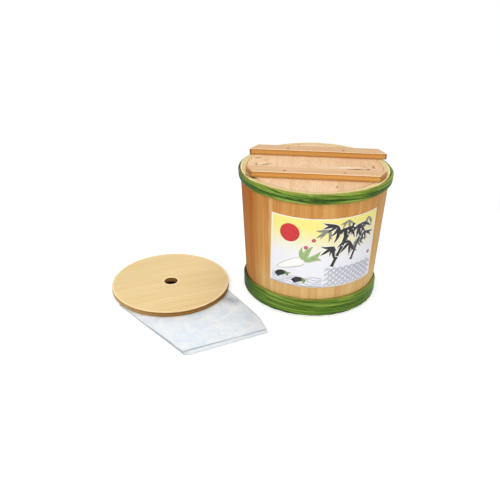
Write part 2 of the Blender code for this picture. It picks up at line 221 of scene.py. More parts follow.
by_hole = add(tree, "MapRange", add(tree, "distance", place, tuple(DROP)), 0.100, 0.090)
near = add(tree, "MixShader", by_hole, open_floor, hole_painted_shade)
off = add(tree, "smooth", add(tree, "length", place), WHITE_FROM, WHITE_TO)
white = add(tree, "Emission", "FFFFFF", 1.0)
add(tree, "OutputMaterial", add(tree, "MixShader", add(tree, "multiply", off, seen), near, white))
floor_mesh.materials.append(floor_paint)

sky = bpy.data.worlds.new("pale_sky")
tree = empty_tree(sky)
lit, seen = add(tree, "Background", "F6F8FF", 0.5), add(tree, "Background", "FFFFFF", 1.0)
add(tree, "OutputWorld", add(tree, "MixShader", backdrop_light(tree), lit, seen))
bpy.context.scene.world = sky
print("floor", 2 * FLOOR_SIDE, "m across")


# %% Lamps
def lamp(name, place, target, size, watts, colour):
    """Square area lamp that faces its target."""
    data = bpy.data.lights.new(name, "AREA")
    data.shape = "SQUARE"
    data.size = size
    data.energy = watts
    data.color = linear(colour)[:3]
    made = bpy.data.objects.new(name, data)
    bpy.context.collection.objects.link(made)
    away = np.array(place) - np.array(target)
    away = away / np.linalg.norm(away)
    across = np.cross((0.0, 0.0, 1.0), away)
    across = across / np.linalg.norm(across)
    made.matrix_world = pose(across, np.cross(away, across), away, place)
    print(name, watts, "W")


lamp("key_lamp", (-0.7, -1.4, 1.4), (0.05, 0.0, 0.1), 1.1, 18.0, "FFFAF2")
lamp("fill_lamp", (0.8, -1.5, 0.6), (0.1, 0.0, 0.1), 1.2, 8.0, "FFF8F4")
lamp("top_lamp", (0.2, 0.5, 1.9), (0.05, 0.0, 0.1), 1.4, 14.0, "FFFFFF")

# %% [markdown]
# ## Helpers for surfaces
#
# A shape can be modelled from a cube with modifiers. Here every new piece is a grid of points
# worked out as whole arrays, since that keeps its sizes exact: rows are stations along a path
# and columns run round a profile, and the faces come from the grid's numbering. A closed piece
# whose volume comes out negative is turned, so all faces point outwards.

# %% Faces of a grid
def grid_faces(rows, columns, close_rows=False, close_columns=False):
    """Corner numbers of a grid's squares, row by row; a closed way joins its end to its start."""
    r = np.arange(rows if close_rows else rows - 1)[:, None]
    c = np.arange(columns if close_columns else columns - 1)[None, :]
    nr, nc = (r + 1) % rows, (c + 1) % columns
    around = [r * columns + c, r * columns + nc, nr * columns + nc, nr * columns + c]
    return np.stack(np.broadcast_arrays(*around), -1).reshape(-1, 4).tolist()


def swept(rows, columns, ring=False):
    """Faces of a closed profile carried along rows: a ring, or a bar with two end caps."""
    faces = grid_faces(rows, columns, ring, True)
    if not ring:
        faces.append(list(range(columns))[::-1])
        faces.append(list(range((rows - 1) * columns, rows * columns)))
    return faces


print("a grid's first square:", grid_faces(3, 3)[0], "faces of a small bar:", len(swept(2, 4)))


# %% Pieces
def make_piece(name, points, faces, paint, body, stands_for, slot, closed=True, **attributes):
    """Mesh object that rides on a body and stands for a model node, if it is given one.

    An attribute is a number or a place for each point, and is spread over the grid.
    """
    mesh = bpy.data.meshes.new(name)
    mesh.from_pydata(points.reshape(-1, 3).tolist(), [], faces)
    mesh.update()
    mesh.polygons.foreach_set("use_smooth", np.ones(len(mesh.polygons), bool))
    if closed:
        mesh.calc_loop_triangles()
        triangles = np.zeros(len(mesh.loop_triangles) * 3, np.int32)
        mesh.loop_triangles.foreach_get("vertices", triangles)
        a, b, c = points.reshape(-1, 3)[triangles.reshape(-1, 3)].transpose(1, 0, 2)
        if (a * np.cross(b, c)).sum() < 0:
            mesh.flip_normals()
    for key, values in attributes.items():
        wide = np.ndim(values) == 3
        values = np.broadcast_to(values, points.shape[:2] + (3,) * wide).astype(np.float32)
        layer = mesh.attributes.new(key, "FLOAT_VECTOR" if wide else "FLOAT", "POINT")
        layer.data.foreach_set("vector" if wide else "value", values.ravel())
    made = bpy.data.objects.new(name, mesh)
    bpy.context.collection.objects.link(made)
    mesh.materials.append(paint)
    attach(made, body)
    if stands_for:
        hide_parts(stands_for)
    return made


def soft(value, start, end):
    """Soft step: 0 before the start, 1 after the end, and no corner at either."""
    t = np.clip((value - start) / (end - start), 0, 1)
    return t * t * (3 - 2 * t)


def assemble(parts):
    """Join the stretches of a section: their points, and the shares that go with the points."""
    kinds = range(1, len(parts[0]))
    shares = [np.concatenate([np.broadcast_to(part[k], len(part[0])) for part in parts]) for k in kinds]
    return np.concatenate([part[0] for part in parts]), *shares


print("soft step at a quarter:", soft(0.25, 0.0, 1.0))

# %% [markdown]
# ## Wood
#
# The staves are a conifer such as cedar or hinoki, sawn and planed, which gives the eye fine
# lines lengthways and a dull sheen. A picture of wood could be laid on the faces, but wood is
# solid, so its figure is worked out in space: each board carries a "grain" attribute, its own
# place in the log, and the growth rings are the distances from the log's pith, bent a little by
# noise. One rule then gives lines along a face and arcs on the end grain. The lid and battens
# are a paler pine, whose small knots leave dark spots and bend the rings. Rings are 3 to 6 mm
# wide in quickly grown wood. Fine fibres are noise stretched along the grain, and drawn 1 mm
# wide, which is coarser than real ones, so that they show.

# %% Growth rings and fibres
RING_WANDER, NO_END = 0.012, 1000.0


def wood_figure(tree, grain, place, whorls, ring_mm):
    """Late wood of the rings (1 at a dark line) and fibres: rings are steps from the pith."""
    wander = stretched_noise(tree, grain, (22.0, 22.0, 3.0), 3.0, 0.55)
    from_pith = add(tree, "length", add(tree, "Mapping", grain, Scale=(1.0, 1.0, 0.0)))
    bent = add(tree, "multiply_add", wander, RING_WANDER, from_pith)
    for x, y, size, push in whorls:
        local = add(tree, "local", place, Location=(AXIS[0] + x, AXIS[1] + y, 0.0),
                    Scale=(size, size * 1.8, NO_END))
        near = add(tree, "exponent", add(tree, "multiply", add(tree, "length", local), -1.6))
        bent = add(tree, "multiply_add", near, push, bent)
    late = add(tree, "FloatCurve", Value=add(tree, "fract", add(tree, "multiply", bent, 1000 / ring_mm)))
    curve = late.mapping.curves[0]
    curve.points[0].location, curve.points[1].location = (0.0, 0.1), (1.0, 0.1)
    for spot in ((0.55, 0.25), (0.84, 1.0), (0.95, 0.8)):
        curve.points.new(*spot)
    late.mapping.update()
    return late, stretched_noise(tree, grain, (520.0, 520.0, 9.0), 3.0, 0.7)


print("rings wander by mm", RING_WANDER * 1000)

# %% Wood recipe
NOISE_LOW, NOISE_HIGH, WAVER, TOP_ONLY = 0.3, 0.7, 0.006, 0.02


def wood(name, pale, deep, tint, end, edge, marks=(), top_marks=(), whorls=(), ring_mm=3.0,
         ring_share=0.25, fibre_share=0.4, cloud_share=0.5, roughness=0.5, cut_tint=0.15,
         gloss_level=0.3):
    """Planed wood: rings, fibres and broad clouds mix a pale and a deep colour.

    Attributes: board (share of the tint), cut (share of the sawn end's colours) and edge
    (share of the pale edge colour: a painted highlight on the battens' and drop lid's top edges,
    and on the staves a paler rim edge and foot). Marks are soft streaks through the whole height
    and top marks only colour the top (place, half length, half width, bearing, colour, amount);
    some top marks are painted shadow. Whorls bend the rings (place, size, push). All are placed
    from the barrel's axis.
    """
    made, tree, shader = new_material(name)
    grain = add(tree, "Attribute", attribute_name="grain").outputs["Vector"]
    board, cut, rubbed = (add(tree, "Attribute", attribute_name=key).outputs["Fac"]
                          for key in ("board", "cut", "edge"))
    place = add(tree, "TexCoord").outputs["Object"]
    late, fibre = wood_figure(tree, grain, place, whorls, ring_mm)
    cloud = stretched_noise(tree, grain, (70.0, 70.0, 2.2), 2.0, 0.6)
    rings = add(tree, "multiply", late, ring_share)
    fibres = add(tree, "MapRange", fibre, NOISE_LOW, NOISE_HIGH, 0.0, fibre_share)
    clouds = add(tree, "MapRange", cloud, NOISE_LOW, NOISE_HIGH, 0.0, cloud_share)
    depth = add(tree, "capped", add(tree, "add", rings, fibres), 1.0, clouds)
    figure, sawn = add(tree, "mix", depth, pale, deep), add(tree, "mix", depth, *end)
    tinted = add(tree, "multiply_add", cut, cut_tint - 1.0, 1.0)
    stained = add(tree, "stain", add(tree, "capped", tinted, board, 0.0),
                  add(tree, "mix", cut, figure, sawn), tint)
    # The edge share paints a highlight on the battens' and drop lid's top edges; on the staves it is a
    # paler rim edge and foot.
    colour = add(tree, "mix", rubbed, stained, edge)
    ripple = add(tree, "TexNoise", place, 55.0, 2.0).outputs["Color"]
    waver = add(tree, "VectorMath", ripple, (WAVER, WAVER, 0.0), place, operation="MULTIPLY_ADD")
    for mark in [(*mark, NO_END) for mark in marks] + [(*mark, TOP_ONLY) for mark in top_marks]:
        x, y, half_length, half_width, bearing, dark, amount, half_height = mark
        middle = (AXIS[0] + x + WAVER / 2, AXIS[1] + y + WAVER / 2, STAVE_LENGTH)
        local = add(tree, "local", waver, middle, (0.0, 0.0, np.radians(bearing)),
                    (half_length, half_width, half_height))
        share = add(tree, "smooth", add(tree, "length", local), 0.2, 1.0, amount, 0.0)
        colour = add(tree, "mix", share, colour, dark)
    gloss = add(tree, "MapRange", fibre, NOISE_LOW, NOISE_HIGH, roughness - 0.06, roughness + 0.1)
    relief = add(tree, "Bump", Height=add(tree, "multiply_add", late, -0.5, fibre), Distance=0.0001,
                 Strength=0.4)
    wire(shader, Base_Color=colour, Roughness=gloss, Normal=relief, IOR=1.5,
         Specular_IOR_Level=gloss_level)
    return made


print("a mark's edge wavers by mm", WAVER * 1000)

# %% Four woods
cedar = wood(
    "planed_cedar_staves", "EFC57E", "D29B54", "C48C4A", ("E2D09C", "CEB67E"), "EEE2AC", ring_mm=5.5,
    ring_share=0.3, fibre_share=0.36, roughness=0.6, gloss_level=0.12,
    marks=((-0.104, -0.062, 0.012, 0.0085, -149.0, "AE6E26", 0.6),
           (-0.065, -0.103, 0.012, 0.0065, -122.0, "E6CC92", 0.5),
           (-0.090, -0.082, 0.012, 0.0030, -138.0, "B87C3C", 0.4),
           (0.112, -0.048, 0.012, 0.0050, -23.0, "E2C896", 0.5),
           (0.119, -0.025, 0.012, 0.0040, -12.0, "B88454", 0.4)),
    # The two top marks are painted shadow on the rim under the front batten's left end.
    top_marks=((-0.099, -0.0675, 0.0120, 0.0042, -32.0, "5A2A12", 1.0),
               (-0.1105, -0.0565, 0.0090, 0.0032, -52.0, "7A4A24", 0.8)))
lid_pine = wood(
    "planed_pine_lid", "F3D5B0", "D9B287", "E4CEBA", ("E0C494", "C8A474"), "E8C8A6",
    ring_share=0.26, fibre_share=0.55, cloud_share=0.4, roughness=0.6,
    whorls=((-0.100, 0.014, 0.012, 0.016), (0.096, 0.004, 0.011, 0.016),
            (0.037, -0.089, 0.005, 0.016)),
    top_marks=((0.058, -0.003, 0.034, 0.0055, 3.0, "F4E4CC", 0.75),
               (-0.090, 0.003, 0.012, 0.006, 12.0, "F6E2BC", 0.7),
               (0.069, -0.0095, 0.026, 0.0052, 4.0, "8E5E32", 1.0),
               # The next mark is painted shadow on the lid under the front batten's left end.
               (-0.097, -0.0685, 0.0120, 0.0042, -32.0, "5A2A12", 1.0),
               (0.091, -0.0085, 0.0054, 0.0050, 0.0, "5E3C22", 1.0),
               (0.1005, 0.006, 0.0034, 0.012, 0.0, "8A5C34", 0.8),
               (0.086, 0.006, 0.0026, 0.010, 30.0, "A0744C", 0.65),
               (-0.083, -0.001, 0.015, 0.0040, 14.0, "845628", 0.9),
               (-0.100, -0.003, 0.0034, 0.009, 0.0, "8C6238", 0.75),
               (-0.101, 0.030, 0.0100, 0.0050, 20.0, "98703F", 0.8),
               (0.037, -0.0925, 0.0030, 0.008, 0.0, "A07A58", 0.75)))
# The battens' edge colour F6DCB4 is a painted highlight along their front top edge.
batten_pine = wood("planed_pine_battens", "E6C298", "CA9E70", "A07850", ("E2AE60", "CA9248"), "F6DCB4",
                   cut_tint=1.0, roughness=0.55)
# The drop lid's edge colour FAE2B0 is a painted highlight along its top edges.
drop_pine = wood("sanded_pine_drop_lid", "F0DEB0", "E0C48C", "F4E2B8", ("B8843E", "96642C"), "FAE2B0",
                 ring_mm=4.4, ring_share=0.46, fibre_share=0.24)
print("woods:", ", ".join(made.name for made in (cedar, lid_pine, batten_pine, drop_pine)))

# %% [markdown]
# ## Staves
#
# A stave is a plank whose faces follow the barrel's curve and taper. A box could be bevelled and
# bent to it, but the groove for the bottom has to stay true. So its section up and down (foot,
# outer face, rim, inner face and groove) is carried round by the stave's angle in narrow steps,
# and close to the joints the faces turn in by a rounding, which shows as a fine line. Each
# stave has its own tint, which drifts across it, for no two come from one log. They carry
# painted shade under the upper hoop and are paler near the foot.

# %% Section of a stave
FOOT_ROUNDING, RIM_ROUNDING, MOUTH_ROUNDING, GROOVE_DEPTH = 0.0012, 0.0022, 0.0007, 0.003


def rounded(corner, before, after, radius, steps=4):
    """Points that replace a square corner: a curve of two weights between points on its sides."""
    corner, before, after = (np.array(p, float) for p in (corner, before, after))
    start = corner + (before - corner) / np.linalg.norm(before - corner) * radius
    end = corner + (after - corner) / np.linalg.norm(after - corner) * radius
    t = np.linspace(0, 1, steps)[:, None]
    return (1 - t) ** 2 * start + 2 * t * (1 - t) * corner + t ** 2 * end


def stave_section():
    """Shift from the outer face and height of each point, with its shares of cut and edge."""
    wall, top, near = STAVE_THICKNESS, STAVE_LENGTH, 0.004
    deep = GROOVE_DEPTH - wall
    groove_low, groove_high = corners("bottom_board_centre")[:, 2].round(6) + (-GAP, GAP)
    face = np.stack([np.zeros(9), np.linspace(near, top - near, 9)], -1)
    inner = np.stack([np.full(7, -wall), np.linspace(top - near, groove_high + 0.002, 7)], -1)
    groove = np.array([(-wall, groove_high), (deep, groove_high), (deep, groove_low),
                       (-wall, groove_low)])
    return assemble([
        (rounded((0, 0), (-near, 0), (0, near), FOOT_ROUNDING), 0, 0),
        (face, 0, 0),
        (rounded((0, top), (0, top - near), (-near, top), RIM_ROUNDING, 6), [0, 0.5, 1, 1, 1, 1],
         [0, 0, 0.4, 0.9, 1, 0.8]),
        (np.array([(-0.0030, top), (-0.0055, top), (-0.0085, top)]), 1, 0),
        (rounded((-wall, top), (near - wall, top), (-wall, top - near), MOUTH_ROUNDING),
         [1, 1, 0.5, 0], 0),
        (inner, 0, 0),
        (groove, 0, 0),
        (rounded((-wall, 0), (-wall, near), (near - wall, 0), FOOT_ROUNDING), 0, 0),
    ])


SECTION, SECTION_CUT, SECTION_EDGE = stave_section()
print("points in a stave's section:", len(SECTION))


# %% A stave
JOINT_ROUNDING, JOINT_DEPTH = 0.00045, 0.0003
FROM_JOINT = np.array([0, 0.1, 0.25, 0.45, 1.2, 4.0]) / 1000
SHADE_BY_HOOP, SHADED_HEIGHTS = 0.15, (0.13, 0.20)
PALER_FOOT, PALER_HEIGHTS = 0.34, (0.055, 0.11)
FACE_MARGIN = 0.006
rng = np.random.default_rng(7)


def about_axis(radius, angle, height):
    """Point at a radius, an angle and a height about the barrel's axis."""
    spots = np.broadcast_arrays(radius * np.cos(angle), radius * np.sin(angle), height)
    return np.stack(spots, -1) + AXIS


def stave(number, start, end, tint, drift):
    """Stave between two joint angles: its section turned about the axis, drawn in at the joints.

    Its tint is tint + drift * share, where share runs from -1 to 1 across the stave.
    """
    half = (end - start) / 2 * outer_radius(STAVE_LENGTH / 2)
    inner_steps = np.linspace(FACE_MARGIN - half, half - FACE_MARGIN, 9)
    across = np.concatenate([FROM_JOINT - half, inner_steps, half - FROM_JOINT[::-1]])[:, None]
    share = across / half
    inset = np.clip(1 - (half - np.abs(across)) / JOINT_ROUNDING, 0, 1)
    drawn = JOINT_DEPTH * (1 - np.sqrt(1 - inset ** 2))
    shift = SECTION[:, 0] - np.sign(SECTION[:, 0] + STAVE_THICKNESS / 2) * drawn
    height = np.broadcast_to(SECTION[:, 1], shift.shape)
    radius = outer_radius(height) + shift
    angle = (start + end) / 2 + share * ((end - start) / 2 - GAP / 6 / radius)
    pith = np.array([rng.uniform(-0.05, 0.05), rng.uniform(0.05, 0.11), rng.uniform(0, 9)])
    lean = rng.uniform(-0.05, 0.05)
    grain = np.stack([across + pith[0] + lean * height, shift + pith[1], height + pith[2]], -1)
    own_tint = tint + drift * share
    # Painted shade on the staves under the upper hoop; lower down the colour turns paler near the foot.
    painted_hoop_shade = SHADE_BY_HOOP * soft(height, *SHADED_HEIGHTS) * (1 - SECTION_CUT)
    paler_foot = PALER_FOOT * (1 - np.clip(own_tint, 0, 1)) * (1 - soft(height, *PALER_HEIGHTS))
    name = f"stave_{number:02d}"
    make_piece(f"{name}_planed", about_axis(radius, angle, height), swept(*height.shape), cedar,
               "barrel", name, "stave_wood", grain=grain, board=own_tint + painted_hoop_shade, cut=SECTION_CUT,
               edge=np.maximum(SECTION_EDGE, paler_foot))


print("steps beside a joint mm", FROM_JOINT * 1000)

# %% The ring of staves
STAVES = 22
shares = np.array([14.5, 15.2, 16.6, 15.0, 16.3, 16.1, 17.4, 15.6, 18.0, 16.2, 17.1,
                   15.4, 16.9, 17.8, 15.9, 16.5, 17.3, 15.2, 16.8, 17.6, 15.7, 16.9])
joints = np.radians(-129.0) + np.concatenate([[0], np.cumsum(shares)]) / shares.sum() * 2 * np.pi
tints = np.clip(rng.normal(0.3, 0.12, STAVES), 0, 1)
tints[[19, 20, 21, 0, 6, 7]] = 0.8, 0.8, 0.55, 0.42, 0.1, 0.15
drifts = rng.normal(0.0, 0.06, STAVES)
drifts[21] = -0.35
for i in range(STAVES):
    stave(i + 1, joints[i], joints[i + 1], tints[i], drifts[i])
widths = np.diff(joints) * outer_radius(STAVE_LENGTH / 2) * 1000
print("staves made:", STAVES, "widths mm", widths.min().round(1), "to", widths.max().round(1))

# %% [markdown]
# ## Boards
#
# The bottom and the lid are boards pinned edge to edge and cut round. A disc could be cut by
# booleans, which leave long thin faces. Instead each board is an outline carried up its own
# edge: in by a rounding, up the side and in again. The outline is worked out afresh for each
# inset, so a corner stays a corner.

# %% Outlines of the boards
ROUNDING, CAP_RING = 0.0002, 0.0015


def round_strip(left, right, radius):
    """Outline of the part of a disc between two lines, drawn in by an inset, as a function."""
    steps = np.linspace(0, 1, 48, endpoint=False)
    line = np.linspace(0, 1, 20, endpoint=False)[:, None]

    def outline(inset, grow):
        """Arcs at the rim joined by the straight runs along the lines."""
        r = radius - inset + grow

        def spots(angle):
            """Points of the circle at these angles."""
            return r * np.stack([np.cos(angle), np.sin(angle)], -1)

        first = np.arccos(np.clip((right - inset) / r, -1, 1)) if right < radius else 0.0
        last = np.arccos(np.clip((left + inset) / r, -1, 1)) if left > -radius else np.pi
        parts = [spots(first + (last - first) * steps)]
        if left > -radius:
            parts.append(spots(last) * (1 - line) + spots(-last) * line)
        parts.append(spots(-last + (last - first) * steps))
        if right < radius:
            parts.append(spots(-first) * (1 - line) + spots(first) * line)
        return np.concatenate(parts)

    return outline


print("points round a disc's outline:", len(round_strip(-1.0, 1.0, 0.1)(0.0, 0.0)))


# %% The rounded board
def board(name, outline, bottom, top, body, pith, tint, flare):
    """Board with rounded edges: its outline at each inset of a quarter round, stacked in height.

    The flare is how much wider the top is than the bottom, to follow the mouth's taper.
    """
    quarter = np.linspace(0, np.pi / 2, 5)
    inset, rise = ROUNDING * (1 - np.sin(quarter)), ROUNDING * (1 - np.cos(quarter))
    cap = [ROUNDING + CAP_RING]
    insets = np.concatenate([cap, inset, inset[::-1], cap])
    heights = np.concatenate([[bottom], bottom + rise, top - rise[::-1], [top]])
    grown = flare * (heights - bottom) / (top - bottom)
    flat = np.stack([outline(i, g) for i, g in zip(insets, grown)])
    x, y, z = flat[..., 0], flat[..., 1], np.broadcast_to(heights[:, None], flat.shape[:2])
    grain = np.stack([pith[0] - x, z - top + pith[1] + 0.10 * y, y + pith[2]], -1)
    make_piece(f"{name}_planed", np.stack([x, y, z], -1) + AXIS, swept(*z.shape), lid_pine, body, name,
               "board_wood", grain=grain, board=tint)


print("boards' edges are rounded by mm", ROUNDING * 1000)


# %% Bottom and lid boards
def reach(node):
    """How far a node's right side lies from the barrel's axis."""
    return corners(node)[1, 0] - AXIS[0]


for kind, body, flare, piths in (
    ("bottom", "barrel", 0.0, ((0.01, 0.05, 0.3), (0.0, -0.06, 2.1), (-0.02, 0.07, 4.4))),
    ("lid", "lid", 0.0007, ((0.062, 0.034, 0.6), (-0.018, 0.030, 3.3), (-0.066, 0.036, 5.9))),
):
    bottom, top = corners(f"{kind}_board_centre")[:, 2]
    joint, radius = reach(f"{kind}_board_centre") + GAP / 2, reach(f"{kind}_board_right")
    lines = (-1.0, -joint, joint, 1.0)
    for side, left, right, pith, tint in zip(("left", "centre", "right"), lines[:-1], lines[1:], piths,
                                             (0.1, 0.1, 0.35)):
        strip = round_strip(left + GAP / 6, right - GAP / 6, radius)
        board(f"{kind}_board_{side}", strip, bottom, top, body, pith, tint, flare)
    print(kind, "radius mm", round(radius * 1000, 1), "thickness mm", round((top - bottom) * 1000, 1))

# %% [markdown]
# ## Battens
#
# Two bars across the lid keep its boards flat and are its handles. They are ripped from the
# same pine, grain lengthways, and their sawn sides and ends are more orange than the planed
# top. The ends slant with the rim, so the corners don't stand out. A plain box would do from
# afar. This one is a section carried along the bar, with closer steps at the nails, where the
# top is pressed in because the hammer bruised the wood.

# %% Section of a batten
BATTEN_ROUNDING = 0.0008


def bar_section(half, tall, radius):
    """Rectangle with rounded corners, from its lower front corner over the top and back.

    With each point go its shares of sawn colour, painted highlight on the front top edge, and dark tint.
    """
    turn = np.linspace(0, np.pi / 2, 5)
    bow, rise = radius * np.sin(turn), radius * (1 - np.cos(turn))
    face = np.linspace(radius - tall, tall - radius, 9)[1:-1]
    top = np.linspace(radius - half, half - radius, 42)[1:-1]
    under = np.linspace(half - radius, radius - half, 8)[1:-1]
    side = np.full(7, half)
    parts = [
        ((radius - half - bow, rise - tall), 1, 0, 0.3),
        ((-side, face), 1, 0, [0.3, 0.1, 0, 0, 0.05, 0.2, 0.4]),
        ((rise - half, tall - radius + bow), [1, 0.8, 0.3, 0, 0], [0, 0.6, 1, 1, 0.6],
         [0.4, 0.1, 0, 0, 0]),
        ((top, np.full(40, tall)), 0, 0, 0),
        ((half - radius + bow, tall - rise), [0, 0, 0.3, 0.8, 1], 0, 0),
        ((side, face[::-1]), 1, 0, 0.1),
        ((half - rise, radius - tall - bow), 1, 0, 0.2),
        ((under, np.full(6, -tall)), 0, 0, 0.3),
    ]
    return assemble([(np.stack(spots, -1), *shares) for spots, *shares in parts])


print("points in a batten's section:", len(bar_section(0.013, 0.005, BATTEN_ROUNDING)[0]))

# %% A batten
BRUISE_DEPTH, BRUISE_START, BRUISE_END = 0.0006, 0.0024, 0.0036
END_MARGIN, DARK_END_SHARE = 0.004, 0.965
BY_HEAD = np.arange(-9, 10) * 0.0004


def batten(name, nails, pith, tint, end_tint):
    """Bar as sections across its grain, drawn in over the rounding of its slanting ends."""
    low, high = corners(name) - AXIS
    edges, aside = np.array([low[1], high[1]]), (low[0] + high[0]) / 2
    circle = np.hypot((high[0] - low[0]) / 2, np.abs(edges).min())
    ends = np.sqrt(circle ** 2 - edges ** 2)
    half, tall = (high - low)[1:] / 2
    level = (high[2] + low[2]) / 2
    section, sawn, worn, dark = bar_section(half, tall, BATTEN_ROUNDING)
    turn = np.linspace(np.pi / 2, 0, 5)
    end_run, end_inset = BATTEN_ROUNDING * (1 - np.sin(turn)), BATTEN_ROUNDING * (1 - np.cos(turn))
    heads = [corners(nail).mean(0) - AXIS for nail in nails]
    middle = ends.mean()
    by_heads = [head[0] - aside + BY_HEAD for head in heads]
    inner = np.linspace(END_MARGIN - middle, middle - END_MARGIN, 60)
    inner = np.sort(np.concatenate([inner, *by_heads]))
    run = np.concatenate([end_run - middle, inner, middle - end_run[::-1]])[:, None] / middle
    inset = np.concatenate([end_inset, np.zeros(len(inner)), end_inset[::-1]])[:, None]
    y, z = section[:, 0] * (1 - inset / half), section[:, 1] * (1 - inset / tall)
    x = aside + run * (ends[0] + (ends[1] - ends[0]) * (y / half + 1) / 2)
    y = y + edges.mean()
    away = np.min([np.hypot(x - head[0], y - head[1]) for head in heads], axis=0)
    bruise = BRUISE_DEPTH * (1 - soft(away, BRUISE_START, BRUISE_END))
    z = z - np.where(z > tall - 0.0001, bruise, 0) + level
    grain = np.stack([y + pith[0], z - level + pith[1] + 0.03 * x, x + pith[2]], -1)
    at_end = (np.abs(run) > np.abs(run[4]) + 1e-6) * 1.0
    near_end = soft(np.abs(run), DARK_END_SHARE, 1.0)
    # The worn share is a painted highlight along the front top edge.
    make_piece(f"{name}_planed", np.stack([x, y, z], -1) + AXIS, swept(*z.shape), batten_pine, "lid",
               name, "batten_wood", grain=grain, cut=np.maximum(sawn, at_end), edge=worn * (1 - at_end),
               board=np.maximum(dark + tint + end_tint * sawn * near_end, end_tint * at_end))
    print(name, "ends reach mm", (ends * 1000).round(1))


print("stations by a nail:", len(BY_HEAD))

# %% Both battens
batten("batten_front", ("nail_front_left", "nail_front_right"), (0.012, 0.045, 1.7), 0.05, 0.2)
batten("batten_back", ("nail_back_left", "nail_back_right"), (-0.012, 0.045, 3.7), 0.1, 1.0)

# %% [markdown]
# ## Pins and nails
#
# Bamboo pins hold the boards edge to edge; they are split from the culm, so fine dark fibre
# bundles run along them. The nails are drawn steel wire whose heads have gone brown and dull
# with rust. Their own shapes in the model are right, so they only get a finish: a Voronoi
# pattern makes the pits, about 1 mm apart, and noise the patches of rust, about 2 mm wide.

# %% Pins and nails
bamboo, tree, shader = new_material("split_bamboo_pins")
place = add(tree, "TexCoord").outputs["Object"]
bundles = stretched_noise(tree, place, (60.0, 1200.0, 1200.0), 2.0)
wire(shader, Base_Color=add(tree, "mix", bundles, "E2D09A", "B89A5C"), Roughness=0.5)

steel, tree, shader = new_material("browned_steel_nails")
place = add(tree, "TexCoord").outputs["Object"]
pits = add(tree, "TexVoronoi", place, 900.0, feature="SMOOTH_F1")
rust = add(tree, "TexNoise", place, 500.0, 3.0)
wire(shader, Base_Color=add(tree, "mix", rust, "9A7450", "684830"), Metallic=0.25,
     Roughness=add(tree, "MapRange", pits, To_Min=0.45, To_Max=0.7),
     Normal=add(tree, "Bump", Height=pits, Distance=0.00005, Strength=0.4))

pins = [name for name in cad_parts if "_pin_" in name]
nails = [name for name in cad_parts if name.startswith("nail_")]
for name in pins + nails:
    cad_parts[name].material_slots[0].material = bamboo if name in pins else steel
print("pins dressed:", len(pins), "nails dressed:", len(nails))

# %% [markdown]
# ## Hoops
#
# Each hoop is one long flat green strand that goes round the barrel many times while it creeps
# round the hoop's own oval section, so the passes lie side by side on a slant. The centre line
# is a racetrack loop in the section, and the angle round the barrel runs on with it. A curve
# with a bevel would keep one stiff section. The strand is soft enough to bend to the loop, so
# here each point of its width takes its own place on it.
# A hoop that was pulled tight by hand is uneven: its laps crowd here and spread there, it dips
# or swells, and it shows pale and dark bands, among them painted highlights and painted shade on
# its left side. Its skin is smooth and glossy with fine lines lengthways and painted highlight
# streaks, olive where its edges are rubbed, and it has painted shade where it faces the floor and
# in the grooves between its passes.

# %% The loop in a hoop's section
def racetrack(share, straight, bend):
    """Place and lean a share of the way round a loop of two straights and two half circles."""
    curve = np.pi * bend
    way = np.mod(share, 1) * 2 * (straight + curve)
    turn_low, turn_high = (way - straight) / bend, (way - 2 * straight) / bend
    zones = [way < straight, way < straight + curve, way < 2 * straight + curve]
    u = np.select(zones, [bend, bend * np.cos(turn_low), -bend], bend * np.cos(turn_high))
    v = np.select(zones, [straight / 2 - way, -straight / 2 - bend * np.sin(turn_low),
                          way - curve - 1.5 * straight], straight / 2 - bend * np.sin(turn_high))
    lean = np.select(zones, [0.0 * way, -turn_low, 0.0 * way - np.pi], -turn_high)
    return u, v, lean


def toward(angle, bearing, start=0.0, end=1.0):
    """Soft share of what faces a bearing: from its cosine, 0 at start and 1 at end."""
    return soft(np.cos(angle - np.radians(bearing)), start, end)


print("a loop's start mm", [float(value) * 1000 for value in racetrack(0.0, 0.010, 0.0016)[:2]])

# %% Hoop strands
AROUND, PROFILE, LAP_WIDTH = 200, 16, 0.49
CREST_ZONE, SHADY_SIDE, MIDDLE_TONE = 0.0030, 186.0, 0.02
WORN_TOP, WORN_BOTTOM, DARK_BOTTOM = (0.74, 0.98), (0.70, 1.0), (0.84, 0.98)


